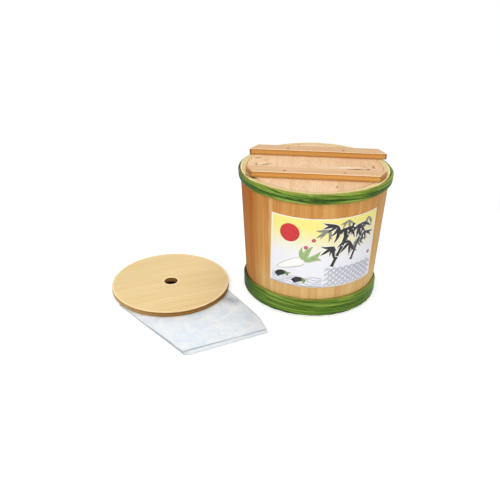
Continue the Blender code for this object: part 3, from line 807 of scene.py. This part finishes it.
def hoop(name, depth, thickness, passes, twists, waves, tones, bands, dips, slim, swell, crest, edges):
    """Strand of lens-shaped section along a racetrack spiral round the barrel.

    Waves are small sines that crowd the laps (size, laps, turns, start) and tones are sines
    that vary their tone (size, count, start). Bands darken or lighten a height at a bearing (rise,
    half height, bearing, start, amount): some are the laps' own tones, the narrow pale ones with
    amount 0.5 are painted highlights, and those at the left are painted shade. Dips lower the top
    edge (bearing, start, end, depth), and the slim part is pulled tighter (the same, with a share).
    The swell thickens the hoop downwards by a share of its depth. The crest lets the front of the
    top edge ride over the rim's rounding, inwards and up. Edges are the shares of the worn top, the
    worn bottom and the painted shade on the bottom, and where the painted shade on the left side
    starts and how dark it is.
    """
    low, high = corners(name)[:, 2]
    middle, height = (low + high) / 2, high - low
    bend = (depth - thickness) / 2
    straight = height - thickness - 2 * bend
    step = np.arange(passes * AROUND)[:, None]
    angle = 2 * np.pi * step / AROUND
    part = angle / passes
    round_it = np.linspace(0, 2 * np.pi, PROFILE, endpoint=False)
    wide, thick = np.cos(round_it), np.sin(round_it)
    share = twists * step / (passes * AROUND) - LAP_WIDTH / passes * np.sign(wide) * np.abs(wide) ** 0.8
    crowded = sum(size * np.sin(2 * np.pi * laps * share + turns * angle + start) / (2 * np.pi * laps)
                  for size, laps, turns, start in waves)
    u, v, lean = racetrack(share + crowded, straight, bend)
    through = thickness / 2 * thick
    v = v + through * np.sin(lean)
    dipped = sum(deep * toward(angle, *where) for *where, deep in dips)
    v = (v + height / 2) * (1 - dipped / height) - height / 2
    ride = toward(angle, -90.0, 0.5, 0.75) * soft(v, height / 2 - CREST_ZONE, height / 2)
    z = middle + v + crest[1] * ride
    tight = (1 - slim[3] * toward(angle, *slim[:3])) * (1 + swell * np.clip(0.5 - v / height, 0, 1))
    radius = outer_radius(np.minimum(z, STAVE_LENGTH)) + GAP - crest[0] * ride
    radius = radius + (depth / 2 + u + through * np.cos(lean)) * tight
    rise = v / (height / 2)
    lap = MIDDLE_TONE + sum(size * np.sin(count * part + start) for size, count, start in tones)
    # Bands: the laps' own tones, with painted highlights and painted shade on the left side.
    lap = lap + sum(amount * np.exp(-((rise - at) / tall) ** 2) * toward(angle, bearing, start)
                    for at, tall, bearing, start, amount in bands)
    make_piece(f"{name}_strand", about_axis(radius, angle, z), swept(*z.shape, ring=True), green,
               "barrel", name, "hoop_strand", lap=lap,
               strand=np.stack(np.broadcast_arrays(part, wide, thick), -1),
               worn=np.maximum(edges[0] * soft(rise, *WORN_TOP), edges[1] * soft(-rise, *WORN_BOTTOM)),
               # The dark attribute is painted shade: on the bottom that faces the floor and on the left
               # side.
               dark=np.maximum(edges[2] * soft(-rise, *DARK_BOTTOM),
                               edges[4] * toward(angle, SHADY_SIDE, edges[3])))
    print(name, "strand m long:", round(passes * 2 * np.pi * float(radius.mean()), 2))


print("stations round the barrel:", AROUND, "points round the strand:", PROFILE)

# %% Strand skin
green, tree, shader = new_material("green_hoop_strand_skin")
strand = add(tree, "Attribute", attribute_name="strand").outputs["Vector"]
lap, worn, dark = (add(tree, "Attribute", attribute_name=key).outputs["Fac"]
                   for key in ("lap", "worn", "dark"))
patches = stretched_noise(tree, strand, (22.0, 0.7, 0.7), 2.0)
streaks = stretched_noise(tree, strand, (40.0, 2.6, 2.6), 3.0, 0.6)
lines = stretched_noise(tree, strand, (16.0, 3.4, 3.4), 2.0, 0.6)
level = add(tree, "add", add(tree, "multiply_add", patches, 0.8, -0.4), lap)
tone = add(tree, "ValToRGB", add(tree, "capped", lines, 1.1, level))
ramp = tone.color_ramp.elements
ramp[0].position, ramp[0].color = 0.10, linear("34521A")
ramp[1].position, ramp[1].color = 0.95, linear("90AE4C")
ramp.new(0.52).color = linear("5A7E26")
# Painted highlight: pale streaks along the glossy skin.
painted_highlight = add(tree, "smooth", streaks, 0.58, 0.72, 0.0, 0.75)
lit_skin = add(tree, "mix", painted_highlight, tone, "A4BC6A")
off_middle = add(tree, "absolute", add(tree, "SeparateXYZ", strand).outputs["Y"])
# Painted shade: near-black green at the strand's edges, in the grooves between its passes.
grooved = add(tree, "mix", add(tree, "smooth", off_middle, 0.7, 1.0, 0.0, 0.8), lit_skin, "24400F")
rubbed = add(tree, "mix", worn, grooved, "92943A")
# Painted shade: the dark attribute, on the bottom that faces the floor and on the left side.
wire(shader, Base_Color=add(tree, "mix", dark, rubbed, "34460F"), Roughness=0.45,
     Specular_IOR_Level=0.1, Normal=add(tree, "Bump", Height=lines, Distance=0.0001, Strength=0.35))
print("strand skin has", len(tree.nodes), "nodes")

# %% Both hoops
# In the upper hoop the band at 188 degrees is painted shade on the left side.
hoop("upper_hoop", depth=0.0055, thickness=0.0023, passes=6, twists=7,
     waves=((0.3, 1, 1, 0.4), (0.2, 2, -1, 2.0), (0.2, 3, 2, 4.1)),
     tones=((0.08, 2, 0.6), (0.10, 5, 2.2), (0.12, 9, 4.0)),
     bands=((0.50, 0.20, -125.0, 0.3, 0.34), (0.12, 0.16, -134.0, 0.92, -0.45),
            (-0.16, 0.26, -112.0, -0.6, -0.40), (-0.62, 0.16, -110.0, -0.6, 0.12),
            (0.40, 0.50, -68.0, 0.90, 0.12), (-0.40, 0.30, -40.0, 0.7, -0.06),
            (-0.30, 0.70, 188.0, 0.6, -0.45), (0.15, 0.22, -80.0, 0.97, -0.35),
            (0.55, 0.25, -92.0, 0.97, -0.25), (-0.45, 0.25, -62.0, 0.95, 0.5)),
     dips=((90.0, -0.35, 0.3, 0.0025),), slim=(185.0, 0.4, 0.95, 0.35), swell=0.0,
     crest=(0.0024, 0.0014), edges=(0.85, 0.75, 0.0, 0.86, 0.6))
# In the lower hoop the band at 186 degrees is painted shade on the left side, and the narrow pale bands
# with amount 0.5 are painted highlights.
hoop("lower_hoop", depth=0.0041, thickness=0.0019, passes=12, twists=7,
     waves=((0.2, 2, 1, 1.1), (0.22, 5, -2, 0.3), (0.25, 6, 1, 3.0)),
     tones=((0.12, 5, 0.2), (0.14, 7, 1.2), (0.14, 16, 3.0)),
     bands=((-0.15, 0.30, -90.0, -0.5, -0.06), (0.62, 0.20, -110.0, 0.8, -0.10),
            (-0.60, 0.16, -95.0, 0.2, -0.06), (0.62, 0.25, -118.0, 0.92, 0.06),
            (0.0, 2.0, 186.0, 0.5, -0.25), (0.82, 0.12, -120.0, 0.985, 0.5),
            (0.60, 0.14, -96.0, 0.98, -0.15), (0.18, 0.10, -76.0, 0.98, 0.5),
            (0.76, 0.12, -57.0, 0.985, 0.5), (-0.85, 0.2, -90.0, -0.5, -0.15)),
     dips=((22.0, 0.80, 0.95, 0.013), (158.0, 0.82, 0.97, 0.011), (-156.0, 0.92, 0.99, 0.0035)),
     slim=(0.0, 2.0, 3.0, 0.0), swell=0.26, crest=(0.0, 0.0), edges=(0.85, 0.0, 0.85, 0.80, 1.0))

# %% [markdown]
# ## Label
#
# The label is one sheet of coated paper glued round the staves: smooth, with a soft sheen and a
# faint tooth. A plane could be shrinkwrapped on the barrel, but that stretches it. The barrel is
# a cone, and a cone unrolls to a fan about its tip, so the sheet stays flat and square in that
# fan and only its place is curved. Its print is a free design: a sun, brushed bamboo, plum
# blossoms, a white radish with its leaves, two aubergines and two kinds of waves. The ground
# runs from yellow to a cool white, inside a pale border.

# %% The label's place on the cone
LABEL_WIDTH, LABEL_HEIGHT, LABEL_THICKNESS = 0.191, 0.130, 0.0004
LABEL_WAIST, LABEL_MIDDLE = 0.5326 * STAVE_LENGTH, np.radians(-77.5)
SLANT = np.hypot(STAVE_LENGTH, RIM_RADIUS - FOOT_RADIUS)
CONE_SINE, CONE_COSINE = (RIM_RADIUS - FOOT_RADIUS) / SLANT, STAVE_LENGTH / SLANT
TIP_REACH = outer_radius(LABEL_WAIST) / CONE_SINE


def on_cone(across, upward, lift):
    """Point of the unrolled sheet on the cone: its distance and angle about the cone's tip."""
    ray = np.hypot(TIP_REACH + upward, across)
    angle = LABEL_MIDDLE + np.arctan(across / (TIP_REACH + upward)) / CONE_SINE
    height = LABEL_WAIST + (ray - TIP_REACH) * CONE_COSINE
    radius = ray * CONE_SINE + GAP + lift
    return about_axis(radius, angle, height)


def film(across, upward, low, high):
    """Closed thin film over a grid: its upper side, and its lower side run backwards."""
    return np.concatenate([on_cone(across, upward, high), on_cone(across, upward, low)[:, ::-1]], 1)


print("cone's tip below the label mm", round(TIP_REACH * 1000))

# %% Coated paper
BORDER_X, BORDER_Y = 0.7125, 0.489
paper, tree, shader = new_material("coated_label_paper")
sheet_place = add(tree, "Attribute", attribute_name="sheet").outputs["Vector"]
upward = add(tree, "SeparateXYZ", sheet_place).outputs["Y"]
mist = add(tree, "TexNoise", sheet_place, 2.2, 2.0)
fade = add(tree, "smooth", add(tree, "multiply_add", mist, 0.22, upward), 0.5, 1.0)
ground = add(tree, "mix", fade, "EEF0F9", "F4EA88")
from_middle = add(tree, "subtract", sheet_place, (0.0, 0.5, 0.0))
sides = add(tree, "SeparateXYZ", add(tree, "VectorMath", from_middle, operation="ABSOLUTE")).outputs
border = add(tree, "maximum", add(tree, "greater_than", sides["X"], BORDER_X),
             add(tree, "greater_than", sides["Y"], BORDER_Y))
fleck = add(tree, "TexNoise", sheet_place, 160.0, 2.0)
wire(shader, Base_Color=add(tree, "mix", border, ground, "FBF8E6"), Roughness=0.38,
     Normal=add(tree, "Bump", Height=fleck, Distance=0.00003, Strength=0.4))

columns = np.linspace(-LABEL_WIDTH / 2, LABEL_WIDTH / 2, 97)[:, None]
rows = np.linspace(-LABEL_HEIGHT / 2, LABEL_HEIGHT / 2, 25)[None, :]
points = film(columns, rows, 0.0, LABEL_THICKNESS)
span = np.concatenate([rows, rows[:, ::-1]], 1) / LABEL_HEIGHT + 0.5
sheet = np.stack(np.broadcast_arrays(columns / LABEL_HEIGHT, span, 0.0), -1)
make_piece("label_sheet", points, swept(*points.shape[:2]), paper, "barrel", "label", "label_paper",
           sheet=sheet)
print("label mm", LABEL_WIDTH * 1000, "by", LABEL_HEIGHT * 1000)

# %% [markdown]
# The print could be a picture, but bands of ink a few hundredths of a millimetre thick, one
# mesh for each colour, keep their edges sharp from near by. Sizes here are millimetres from the
# sheet's middle, and a later colour lies a little higher than the one under it.

# %% Printing ink
INK_LOW, INK_THICKNESS, INK_STEP = 0.00002, 0.00004, 0.000006


def ink(name, colour, worn, amount=0.35):
    """Flat printing ink: its colour is broken by a fine grain, as a brush or a plate leaves it."""
    made, tree, shader = new_material(name)
    place = add(tree, "TexCoord").outputs["Object"]
    share = add(tree, "MapRange", add(tree, "TexNoise", place, 420.0, 3.0, 0.6), 0.45, 0.75, 0.0, amount)
    wire(shader, Base_Color=add(tree, "mix", share, colour, worn), Roughness=0.4)
    return made


def stroke(line, half_width, level):
    """Band along a line in the sheet: each point moves out along the line's normal by its width."""
    line = np.asarray(line) / 1000
    along = np.gradient(line, axis=0)
    along = along / np.linalg.norm(along, axis=1, keepdims=True)
    normal = np.stack([-along[:, 1], along[:, 0]], -1)
    spread = np.linspace(-1, 1, 9)[None, :, None] * np.asarray(half_width)[:, None, None] / 1000
    grid = line[:, None] + normal[:, None] * spread
    low = LABEL_THICKNESS + INK_LOW
    return film(grid[..., 0], grid[..., 1], low, low + INK_THICKNESS + level * INK_STEP)


print("ink's thickness mm", INK_THICKNESS * 1000)


# %% Motifs
def leaf(x, y, length, width, bearing, bend=0.15, steps=22):
    """Leaf's middle line, a shallow arc, and its half width, a sine skewed towards the stalk."""
    s = np.linspace(0.0, 1.0, steps)[:, None]
    angle = np.radians(bearing)
    forward = np.array([np.cos(angle), np.sin(angle)])
    sideways = np.array([-np.sin(angle), np.cos(angle)])
    line = np.array([x, y]) + length * (s * forward + bend * (s * (1 - s) * 4) * sideways)
    return line, width / 2 * np.sin(np.pi * s[:, 0] ** 0.72) ** 0.85 + 0.05


def disc(x, y, radius, steps=40):
    """Disc as a band along its upright diameter, as wide as the circle is there."""
    turn = np.sin(np.linspace(-1, 1, steps) * 0.9995 * np.pi / 2)
    return np.stack([np.full(steps, x), y + radius * turn], -1), radius * np.sqrt(1 - turn ** 2) + 0.02


def line_between(a, b, c, d, steps):
    """Straight line from (a, c) to (b, d)."""
    return np.stack([np.linspace(a, b, steps), np.linspace(c, d, steps)], -1)


def print_motif(name, bands, paint, grow=0.0, first_level=0):
    """One printed colour: all its bands in one mesh."""
    points, faces, count = [], [], 0
    for number, (line, half_width) in enumerate(bands):
        grid = stroke(line, np.asarray(half_width) + grow, first_level + number * 0.3)
        faces += [[corner + count for corner in face] for face in swept(*grid.shape[:2])]
        points.append(grid.reshape(-1, 3))
        count += len(points[-1])
    make_piece(name, np.concatenate(points), faces, paint, "barrel", None, "label_paper")
    print(name, "bands:", len(bands))


print("points along a leaf:", len(leaf(0, 0, 25, 5, 0)[0]), "along a disc:", len(disc(0, 0, 5)[0]))


# %% Bamboo
def culm(x, y, joints, length, width, lean):
    """Bamboo stalk: bands one above another, waisted between their joints, on a slant."""
    s = np.linspace(0, 1, 14)
    rises = [number * (length + 1.5) + s * length for number in range(joints)]
    return [(np.stack([x + lean * rise + 0.0012 * rise ** 2, y + rise], -1),
             width / 2 * (1 - 0.2 * np.sin(np.pi * s)) * (1 - 0.07 * number))
            for number, rise in enumerate(rises)]


def spray(x, y, bearing, length, count, seed):
    """Leaves that hang in a fan from one point, each with its own length, width and curve."""
    draw = np.random.default_rng(seed)
    turns = np.linspace(-52, 52, count) + draw.uniform(-7, 7, count)
    sizes = length * draw.uniform(0.75, 1.1, count)
    return [leaf(x, y, size, size * 0.2, bearing + turn, bend)
            for turn, size, bend in zip(turns, sizes, draw.uniform(-0.16, 0.16, count))]


stalks = culm(10, -24, 4, 18.0, 6.4, 0.36) + culm(44, -16, 3, 19.0, 5.0, 0.30)
washed, brushed = ([blade for place in places for blade in spray(*place)] for places in (
    ((2, 46, 236, 25, 5, 1), (52, 20, 300, 25, 5, 2), (34, 60, 262, 21, 4, 3),
     (74, 56, 268, 22, 4, 4)),
    ((16, 52, 214, 29, 5, 5), (30, 46, 284, 28, 5, 6), (12, 14, 228, 26, 4, 7),
     (58, 48, 276, 29, 5, 8), (40, 20, 250, 25, 4, 9), (66, 30, 304, 23, 4, 10))))
twigs = [(line_between(*ends, 12), np.linspace(0.9, 0.4, 12))
         for ends in ((20, 16, 40, 52), (22, 30, 36, 46), (15, 12, 6, 14), (52, 58, 34, 48),
                      (57, 66, 22, 30))]
halo = ink("printed_pale_ground", "F9F8F0", "F0F0EC")
black = ink("printed_black_ink", "161514", "3A3836")
grey = ink("printed_grey_wash", "7C8078", "A8ACA2", amount=0.6)
print_motif("label_bamboo_ground", stalks + brushed, halo, grow=1.3)
print_motif("label_bamboo_wash", washed, grey, first_level=9)
print_motif("label_bamboo", stalks + twigs + brushed, black, first_level=16)

# %% Sun and plum blossoms
sun = ink("printed_red_ink", "CC262C", "D8504C")
print_motif("label_sun", [disc(-62, 36, 16.5)], sun)
plum = ink("printed_plum_ink", "B8385A", "CC6A80")
petals = [disc(x + 2.1 * np.cos(turn), y + 2.1 * np.sin(turn), 1.6, 12)
          for x, y in ((-22, 26), (-34, 12), (84, -14))
          for turn in np.linspace(0.3, 0.3 + 1.6 * np.pi, 5)]
print_motif("label_plum_blossoms", petals, plum)

# %% Radish
leaf_green = ink("printed_leaf_green", "9CB878", "C4D4A0", amount=0.7)
vein_green = ink("printed_deep_green", "6C9056", "88A870")
white = ink("printed_white", "FAFAF8", "EEF0F0")
down = np.linspace(0, 1, 26)
girth = 8.0 * (1 - down ** 2.2) ** 0.7 * (0.62 + 0.38 * np.minimum(down * 6, 1)) + 0.2
radish = [(np.stack([-36 - 46 * down, -14 - 20 * down ** 1.25], -1), girth)]
leaves = [leaf(-35, -13, 30, 10, 66, 0.12), leaf(-35, -14, 32, 10, 38, -0.10),
          leaf(-35, -15, 28, 9, 8, 0.14), leaf(-37, -12, 24, 8, 98, 0.10)]
print_motif("label_radish_edge", radish, vein_green, grow=0.6)
print_motif("label_radish", radish, white, first_level=6)
print_motif("label_leaves", leaves, leaf_green, first_level=10)
print_motif("label_leaf_veins", [(line, np.full(len(line), 0.35)) for line, _ in leaves], vein_green,
            first_level=16)

# %% Waves
wave_grey = ink("printed_wave_grey", "949CA8", "B4BAC4")
turn = np.linspace(np.pi, 0, 18)
scales = [(np.stack([x + size * np.cos(turn), y + size * np.sin(turn)], -1), np.full(18, 0.42))
          for row, y in enumerate(np.arange(-62, -30, 5.0))
          for x in np.arange(4 + 5.5 * (row % 2), 90, 11.0) for size in (5.0, 2.9)]
print_motif("label_waves", scales, wave_grey)
along = np.linspace(-91, -4, 90)
lines = [(np.stack([along, -46 - 4.2 * row + 1.1 * np.sin(along / 4.2 + row * 1.4)], -1),
          np.full(90, 0.5)) for row in range(5)]
print_motif("label_water_lines", lines, wave_grey)

# %% Aubergines
skin = ink("printed_aubergine_ink", "1C1820", "3A3440")
belly = 5.2 * np.sin(np.pi * np.clip(down * 0.9 + 0.07, 0, 1) ** 0.62) ** 0.6
fruits, caps = [], []
for place in ((-83, -51, 24, 8, 20), (-53, -56, 22, 8, 12)):
    middle_line, _ = leaf(*place, 0.16, 26)
    fruits.append((middle_line, belly))
    caps += [leaf(*middle_line[-2], 7, 3.4, place[-1] + 180 + spread, 0.1) for spread in (-42, 0, 42)]
    caps.append(leaf(*middle_line[-2], 6, 2.0, place[-1] - 10, 0.2))
print_motif("label_aubergine_ground", fruits + caps, halo, grow=0.9, first_level=4)
print_motif("label_aubergines", fruits, skin, first_level=8)
print_motif("label_aubergine_caps", caps, vein_green, first_level=12)

# %% [markdown]
# ## Drop lid
#
# The round board that a stone presses on the vegetables is plywood, sanded, with a finger hole
# to lift it by. A hole could be cut out of a disc, but as a ring it needs no cutting: the
# section goes up the rim, in over the top, down the hole and back underneath. Its side shows
# the plies as stripes by height, paler on the left than on the right as painted shade, and its
# top edges at the rim and the hole carry a painted highlight.

# %% Plywood
PLY_MM = 3.0


def plywood():
    """The wood recipe on the face, and stripes of ply by height on the side, with painted shade towards
    the right.
    """
    tree = drop_pine.node_tree
    shader = next(node for node in tree.nodes if node.type == "BSDF_PRINCIPLED")
    face = shader.inputs["Base Color"].links[0].from_socket
    side = add(tree, "Attribute", attribute_name="side").outputs["Fac"]
    place = add(tree, "TexCoord").outputs["Object"]
    parts = add(tree, "SeparateXYZ", place).outputs
    ply = add(tree, "pingpong", add(tree, "multiply", parts["Z"], 1000 / PLY_MM), 1.0)
    both = add(tree, "capped", stretched_noise(tree, place, (300.0, 300.0, 900.0), 2.0), 0.5, ply)
    dark, pale = add(tree, "mix", both, "A8742E", "7A5220"), add(tree, "mix", both, "D2B078", "B08E54")
    # Painted shade: the side goes from the pale plies on the left to the dark ones on the right.
    painted_side_shade = add(tree, "smooth", parts["X"], DROP[0] - 0.10, DROP[0] + 0.03)
    wire(shader, Base_Color=add(tree, "mix", side, face, add(tree, "mix", painted_side_shade, pale, dark)))


plywood()
print("plywood has", len(drop_pine.node_tree.nodes), "nodes")

# %% Drop lid
HOLE_RADIUS, DROP_ROUNDING, DROP_STEPS = 0.012, 0.0009, 180
drop_bottom, drop_top = corners("drop_lid")[:, 2]


def drop_section():
    """Section of the ring as radius and height, with its share of side: quarters and straights."""
    quarter = np.linspace(0, np.pi / 2, 6)
    bow, rise = DROP_ROUNDING * np.sin(quarter), DROP_ROUNDING * (1 - np.cos(quarter))
    share = quarter / (np.pi / 2)
    outer, inner = DROP_RADIUS - DROP_ROUNDING, HOLE_RADIUS + DROP_ROUNDING
    over = [outer - 0.0012, *np.linspace(outer - 0.004, inner + 0.004, 6), inner + 0.0012]
    under = np.linspace(inner + 0.004, outer - 0.004, 8)
    parts = [
        ((outer + bow, drop_bottom + rise), share),
        ((outer + bow[::-1], drop_top - rise[::-1]), share[::-1]),
        ((over, np.full(8, drop_top)), 0),
        ((inner - bow, drop_top - rise), share),
        ((inner - bow[::-1], drop_bottom + rise[::-1]), share[::-1]),
        ((under, np.full(8, drop_bottom)), 0),
    ]
    return assemble([(np.stack(spots, -1), side) for spots, side in parts])


section, side_share = drop_section()
angle = np.linspace(0, 2 * np.pi, DROP_STEPS, endpoint=False)[:, None]
x, y = section[:, 0] * np.cos(angle), section[:, 0] * np.sin(angle)
z = np.broadcast_to(section[:, 1], x.shape)
grain_way = np.radians(29.0)
run = x * np.cos(grain_way) + y * np.sin(grain_way)
across = y * np.cos(grain_way) - x * np.sin(grain_way)
# The rubbed shares below are a painted highlight along the top edges of the rim and of the hole.
rubbed = np.zeros(len(section))
rubbed[[10, 11, 12, 19, 20, 21]] = 0.8, 0.9, 0.6, 0.7, 0.9, 0.7
make_piece("drop_lid_sanded", np.stack([x, y, z], -1) + DROP, swept(*z.shape, ring=True), drop_pine,
           "drop_lid", "drop_lid", "plywood", board=0.3, edge=rubbed,
           grain=np.stack([across + 0.13, z + 0.05 + 0.05 * run, run + 7.7], -1),
           side=np.clip(side_share * 1.6 - 0.5, 0, 1))
print("drop lid mm", round(DROP_RADIUS * 2000, 1), "by", round((drop_top - drop_bottom) * 1000, 1))

# %% [markdown]
# ## Liner bag
#
# The bag that lines the barrel is thin film, 340 by 740 mm, sold folded: once lengthways and
# then to and fro in four, which makes eight layers. Cloth simulation could fold it, but eight
# close layers rarely settle clear of each other. So the sheet is worked out as it is folded:
# one way across it goes round the lengthways fold, the other way it goes to and fro, round
# loops as wide as the layers are apart. Under the drop lid the layers lie a quarter of a
# millimetre apart, and in the open they spring up a little, each with the wrinkles of the last.
# Its right side is bowed, and a crease runs across the corner there.

# %% The bag's outline and its fields
PANELS, TIGHT, OPEN_SPREAD = 4, 0.00026, 1.6
STILL_TIGHT, SPRINGING = 0.002, 0.05
BOW, BOW_TOP = 0.0065 * np.array([0.836, 0.550]), 0.22
corner_front, corner_right, corner_far_right, corner_far_left = DROP[:2] + np.array(
    [(0.068, -0.208), (0.190, -0.131), (0.094, 0.015), (-0.080, -0.073)])


def quad(across, along):
    """Point of the folded outline: straight lines between its left side and its bowed right side."""
    across, along = across[..., None], along[..., None]
    left = corner_front + (corner_far_left - corner_front) * along
    right = corner_right + (corner_far_right - corner_right) * along
    bulge = np.clip(np.minimum(along / BOW_TOP, (1 - along) / (1 - BOW_TOP)), 0, 1) * BOW
    return left + (right + bulge - left) * across


def from_line(place, start, end):
    """Distance of each point from a line between two places beside the drop lid's middle."""
    start, way = DROP[:2] + np.array(start), np.array(end) - np.array(start)
    share = np.clip(((place - start) @ way) / (way @ way), 0, 1)
    return np.linalg.norm(place - start - share[..., None] * way, axis=-1)


def spring(place):
    """How far the layers have sprung apart: none under the drop lid, and more towards the open."""
    out = np.linalg.norm(place - DROP[:2], axis=-1) - DROP_RADIUS
    return np.clip((out - STILL_TIGHT) / SPRINGING, 0, 1) ** 1.3


def wrinkle(place, seed):
    """Soft field of wrinkles: sines along a few directions, warped by one another."""
    x, y = place[..., 0] * 1000, place[..., 1] * 1000
    a = np.sin(x / 17 + 0.8 * np.sin(y / 23 + seed) + seed)
    b = np.sin((x * 0.6 + y * 0.8) / 11 + np.sin(x / 19 + 2 * seed) + 1.7 * seed)
    c = np.sin((x * 0.8 - y * 0.6) / 7.3 + 1.3 * np.sin(y / 15 - seed))
    return (a + 0.7 * b + 0.45 * c) / 2.15


print("bag's left side mm", round(float(np.linalg.norm(corner_far_left - corner_front)) * 1000))

# %% Ways across and along the sheet
ROWS, COLUMNS, LAST_EDGE, LAST_END = 66, 54, 0.028, 0.035
fold_turn = np.linspace(0, np.pi, 11)[1:-1]
crease = np.linspace(0, np.pi, 9)[1:-1]
ways = []
for number, (start, stop) in enumerate(((0.02, 0.985), (0.985, 0.0), (0.0, 0.97), (0.97, LAST_END))):
    ways.append([np.linspace(start, stop, ROWS), np.full(ROWS, number), np.zeros(ROWS)])
    if number < PANELS - 1:
        ways.append([np.full(9, stop), number + (1 - np.cos(fold_turn)) / 2,
                     np.sin(fold_turn) * (1 if stop > 0.5 else -1)])
along, panel, outward = np.concatenate(ways, 1)[:, :, None]
level = np.ones(COLUMNS)
across, half, side = np.concatenate([
    [np.linspace(0.0, 1.0, COLUMNS), 0 * level, 0 * level],
    [np.ones(7), (1 - np.cos(crease)) / 2, np.sin(crease)],
    [np.linspace(1.0, LAST_EDGE, COLUMNS), level, 0 * level]], 1)[:, None]
print("sheet's grid:", along.size, "by", across.size)

# %% Layers of the folded film
RIDGE_RISE, CREASE_RISE, FLOOR_GAP = 0.0016, 0.0006, 0.00008
CREASE_WIDTH, CREASE_ENDS = 0.0016, ((0.1761, -0.0991), (0.1461, -0.148))
whole = np.floor(panel + 1e-9)
odd = np.mod(whole, 2) > 0
below = 2 * whole + np.where(odd, 1 - half, half)
above = 2 * (whole + 1) + np.where(odd, half, 1 - half)
layer = below + (above - below) * np.mod(panel, 1)
place = quad(np.broadcast_to(across, layer.shape), np.broadcast_to(along, layer.shape))
open_share = spring(place)
steps = np.array([TIGHT * (1 + open_share * (OPEN_SPREAD + 1.1 * wrinkle(place, 0.9 * j + 0.3)))
                  for j in range(2 * PANELS - 1)])
heights = np.concatenate([np.zeros((1, *layer.shape)), np.cumsum(steps, 0)])
lower = np.clip(np.floor(layer).astype(int), 0, 2 * PANELS - 2)
spots = (lower, *np.indices(layer.shape))
ridge = open_share * (wrinkle(place * 0.55, 4.0) * 0.5 + 0.5) ** 2 * RIDGE_RISE
cross_fold = np.exp(-(from_line(place, *CREASE_ENDS) / CREASE_WIDTH) ** 2)
z = heights[spots] + (layer - lower) * steps[spots]
z = z + (ridge + CREASE_RISE * cross_fold) * np.clip(layer, 0, 1) + FLOOR_GAP
radius = (above - below) / 2 * TIGHT * (1 + open_share * OPEN_SPREAD)
forward = (corner_far_left + corner_far_right - corner_front - corner_right) / 2
forward = forward / np.linalg.norm(forward)
rightward = (corner_right - corner_front) / np.linalg.norm(corner_right - corner_front)
flat = place + (outward * radius)[..., None] * forward + side[..., None] * TIGHT * 0.5 * rightward
points = np.concatenate([flat, z[..., None]], -1)
print("bag's highest point mm", round(float(z.max()) * 1000, 2))

# %% [markdown]
# Polythene film is clear, but eight layers with air between them scatter the light, so the bag
# looks milky with a bluish cast. It carries painted shade beside the drop lid, broken by crinkles,
# it is white along the crease, and its rims show as lines, where the film is welded or doubled.

# %% Milky film
film_paint, tree, shader = new_material("milky_polythene_film")
place_node = add(tree, "TexCoord").outputs["Object"]
cloud = add(tree, "TexNoise", place_node, 38.0, 4.0, 0.6, Distortion=0.8)
crinkle = add(tree, "TexNoise", place_node, 120.0, 4.0, 0.6, Distortion=1.4)
edge, lid_shade_share, whitened = (add(tree, "Attribute", attribute_name=key).outputs["Fac"]
                          for key in ("rim", "bunched", "folded"))
milky = add(tree, "mix", add(tree, "MapRange", cloud, 0.35, 0.65), "FAFEFF", "E4F1FB")
# Painted shade: grey A2AAAC beside the drop lid, broken by crinkles.
bunched = add(tree, "multiply", add(tree, "MapRange", crinkle, 0.35, 0.65, 0.45, 0.9), lid_shade_share)
clear = add(tree, "mix", whitened, add(tree, "mix", bunched, milky, "A2AAAC"), "FFFFFF")
wire(shader, Base_Color=add(tree, "mix", edge, clear, "D8E0E4"), Roughness=0.22, IOR=1.5,
     Alpha=add(tree, "MapRange", edge, To_Min=0.85, To_Max=0.98),
     Normal=add(tree, "Bump", Height=crinkle, Distance=0.0006, Strength=0.5))
print("film has", len(tree.nodes), "nodes")

# %% Liner bag
PANEL_WIDTH, PANEL_LENGTH, RIM_WIDTH = 0.165, 0.19, 0.0011
LID_SHADE_WIDTH, LID_SHADE_ENDS = 0.012, ((0.106, -0.034), (0.124, -0.044))
near_side = np.where(half > 0.5, np.abs(across - LAST_EDGE), np.abs(across))
near_side = np.minimum(near_side, np.abs(across - 1)) * PANEL_WIDTH
near_end = np.minimum(np.abs(along), np.abs(along - 1))
at_mouth = np.minimum(near_end, np.abs(along - LAST_END))
near_end = np.where(panel > PANELS - 1.5, at_mouth, near_end) * PANEL_LENGTH
rim = np.clip(1.4 - np.minimum(near_side, near_end) / RIM_WIDTH, 0, 1)
# Where the painted shade lies: a soft band beside the drop lid's edge.
lid_shade = np.exp(-(from_line(place, *LID_SHADE_ENDS) / LID_SHADE_WIDTH) ** 2)
bag = make_piece("liner_bag_film", points, grid_faces(*layer.shape), film_paint, "barrel", "liner_bag",
                 "liner_film", closed=False, rim=rim, bunched=lid_shade, folded=0.8 * cross_fold)
print("bag's points", z.size)
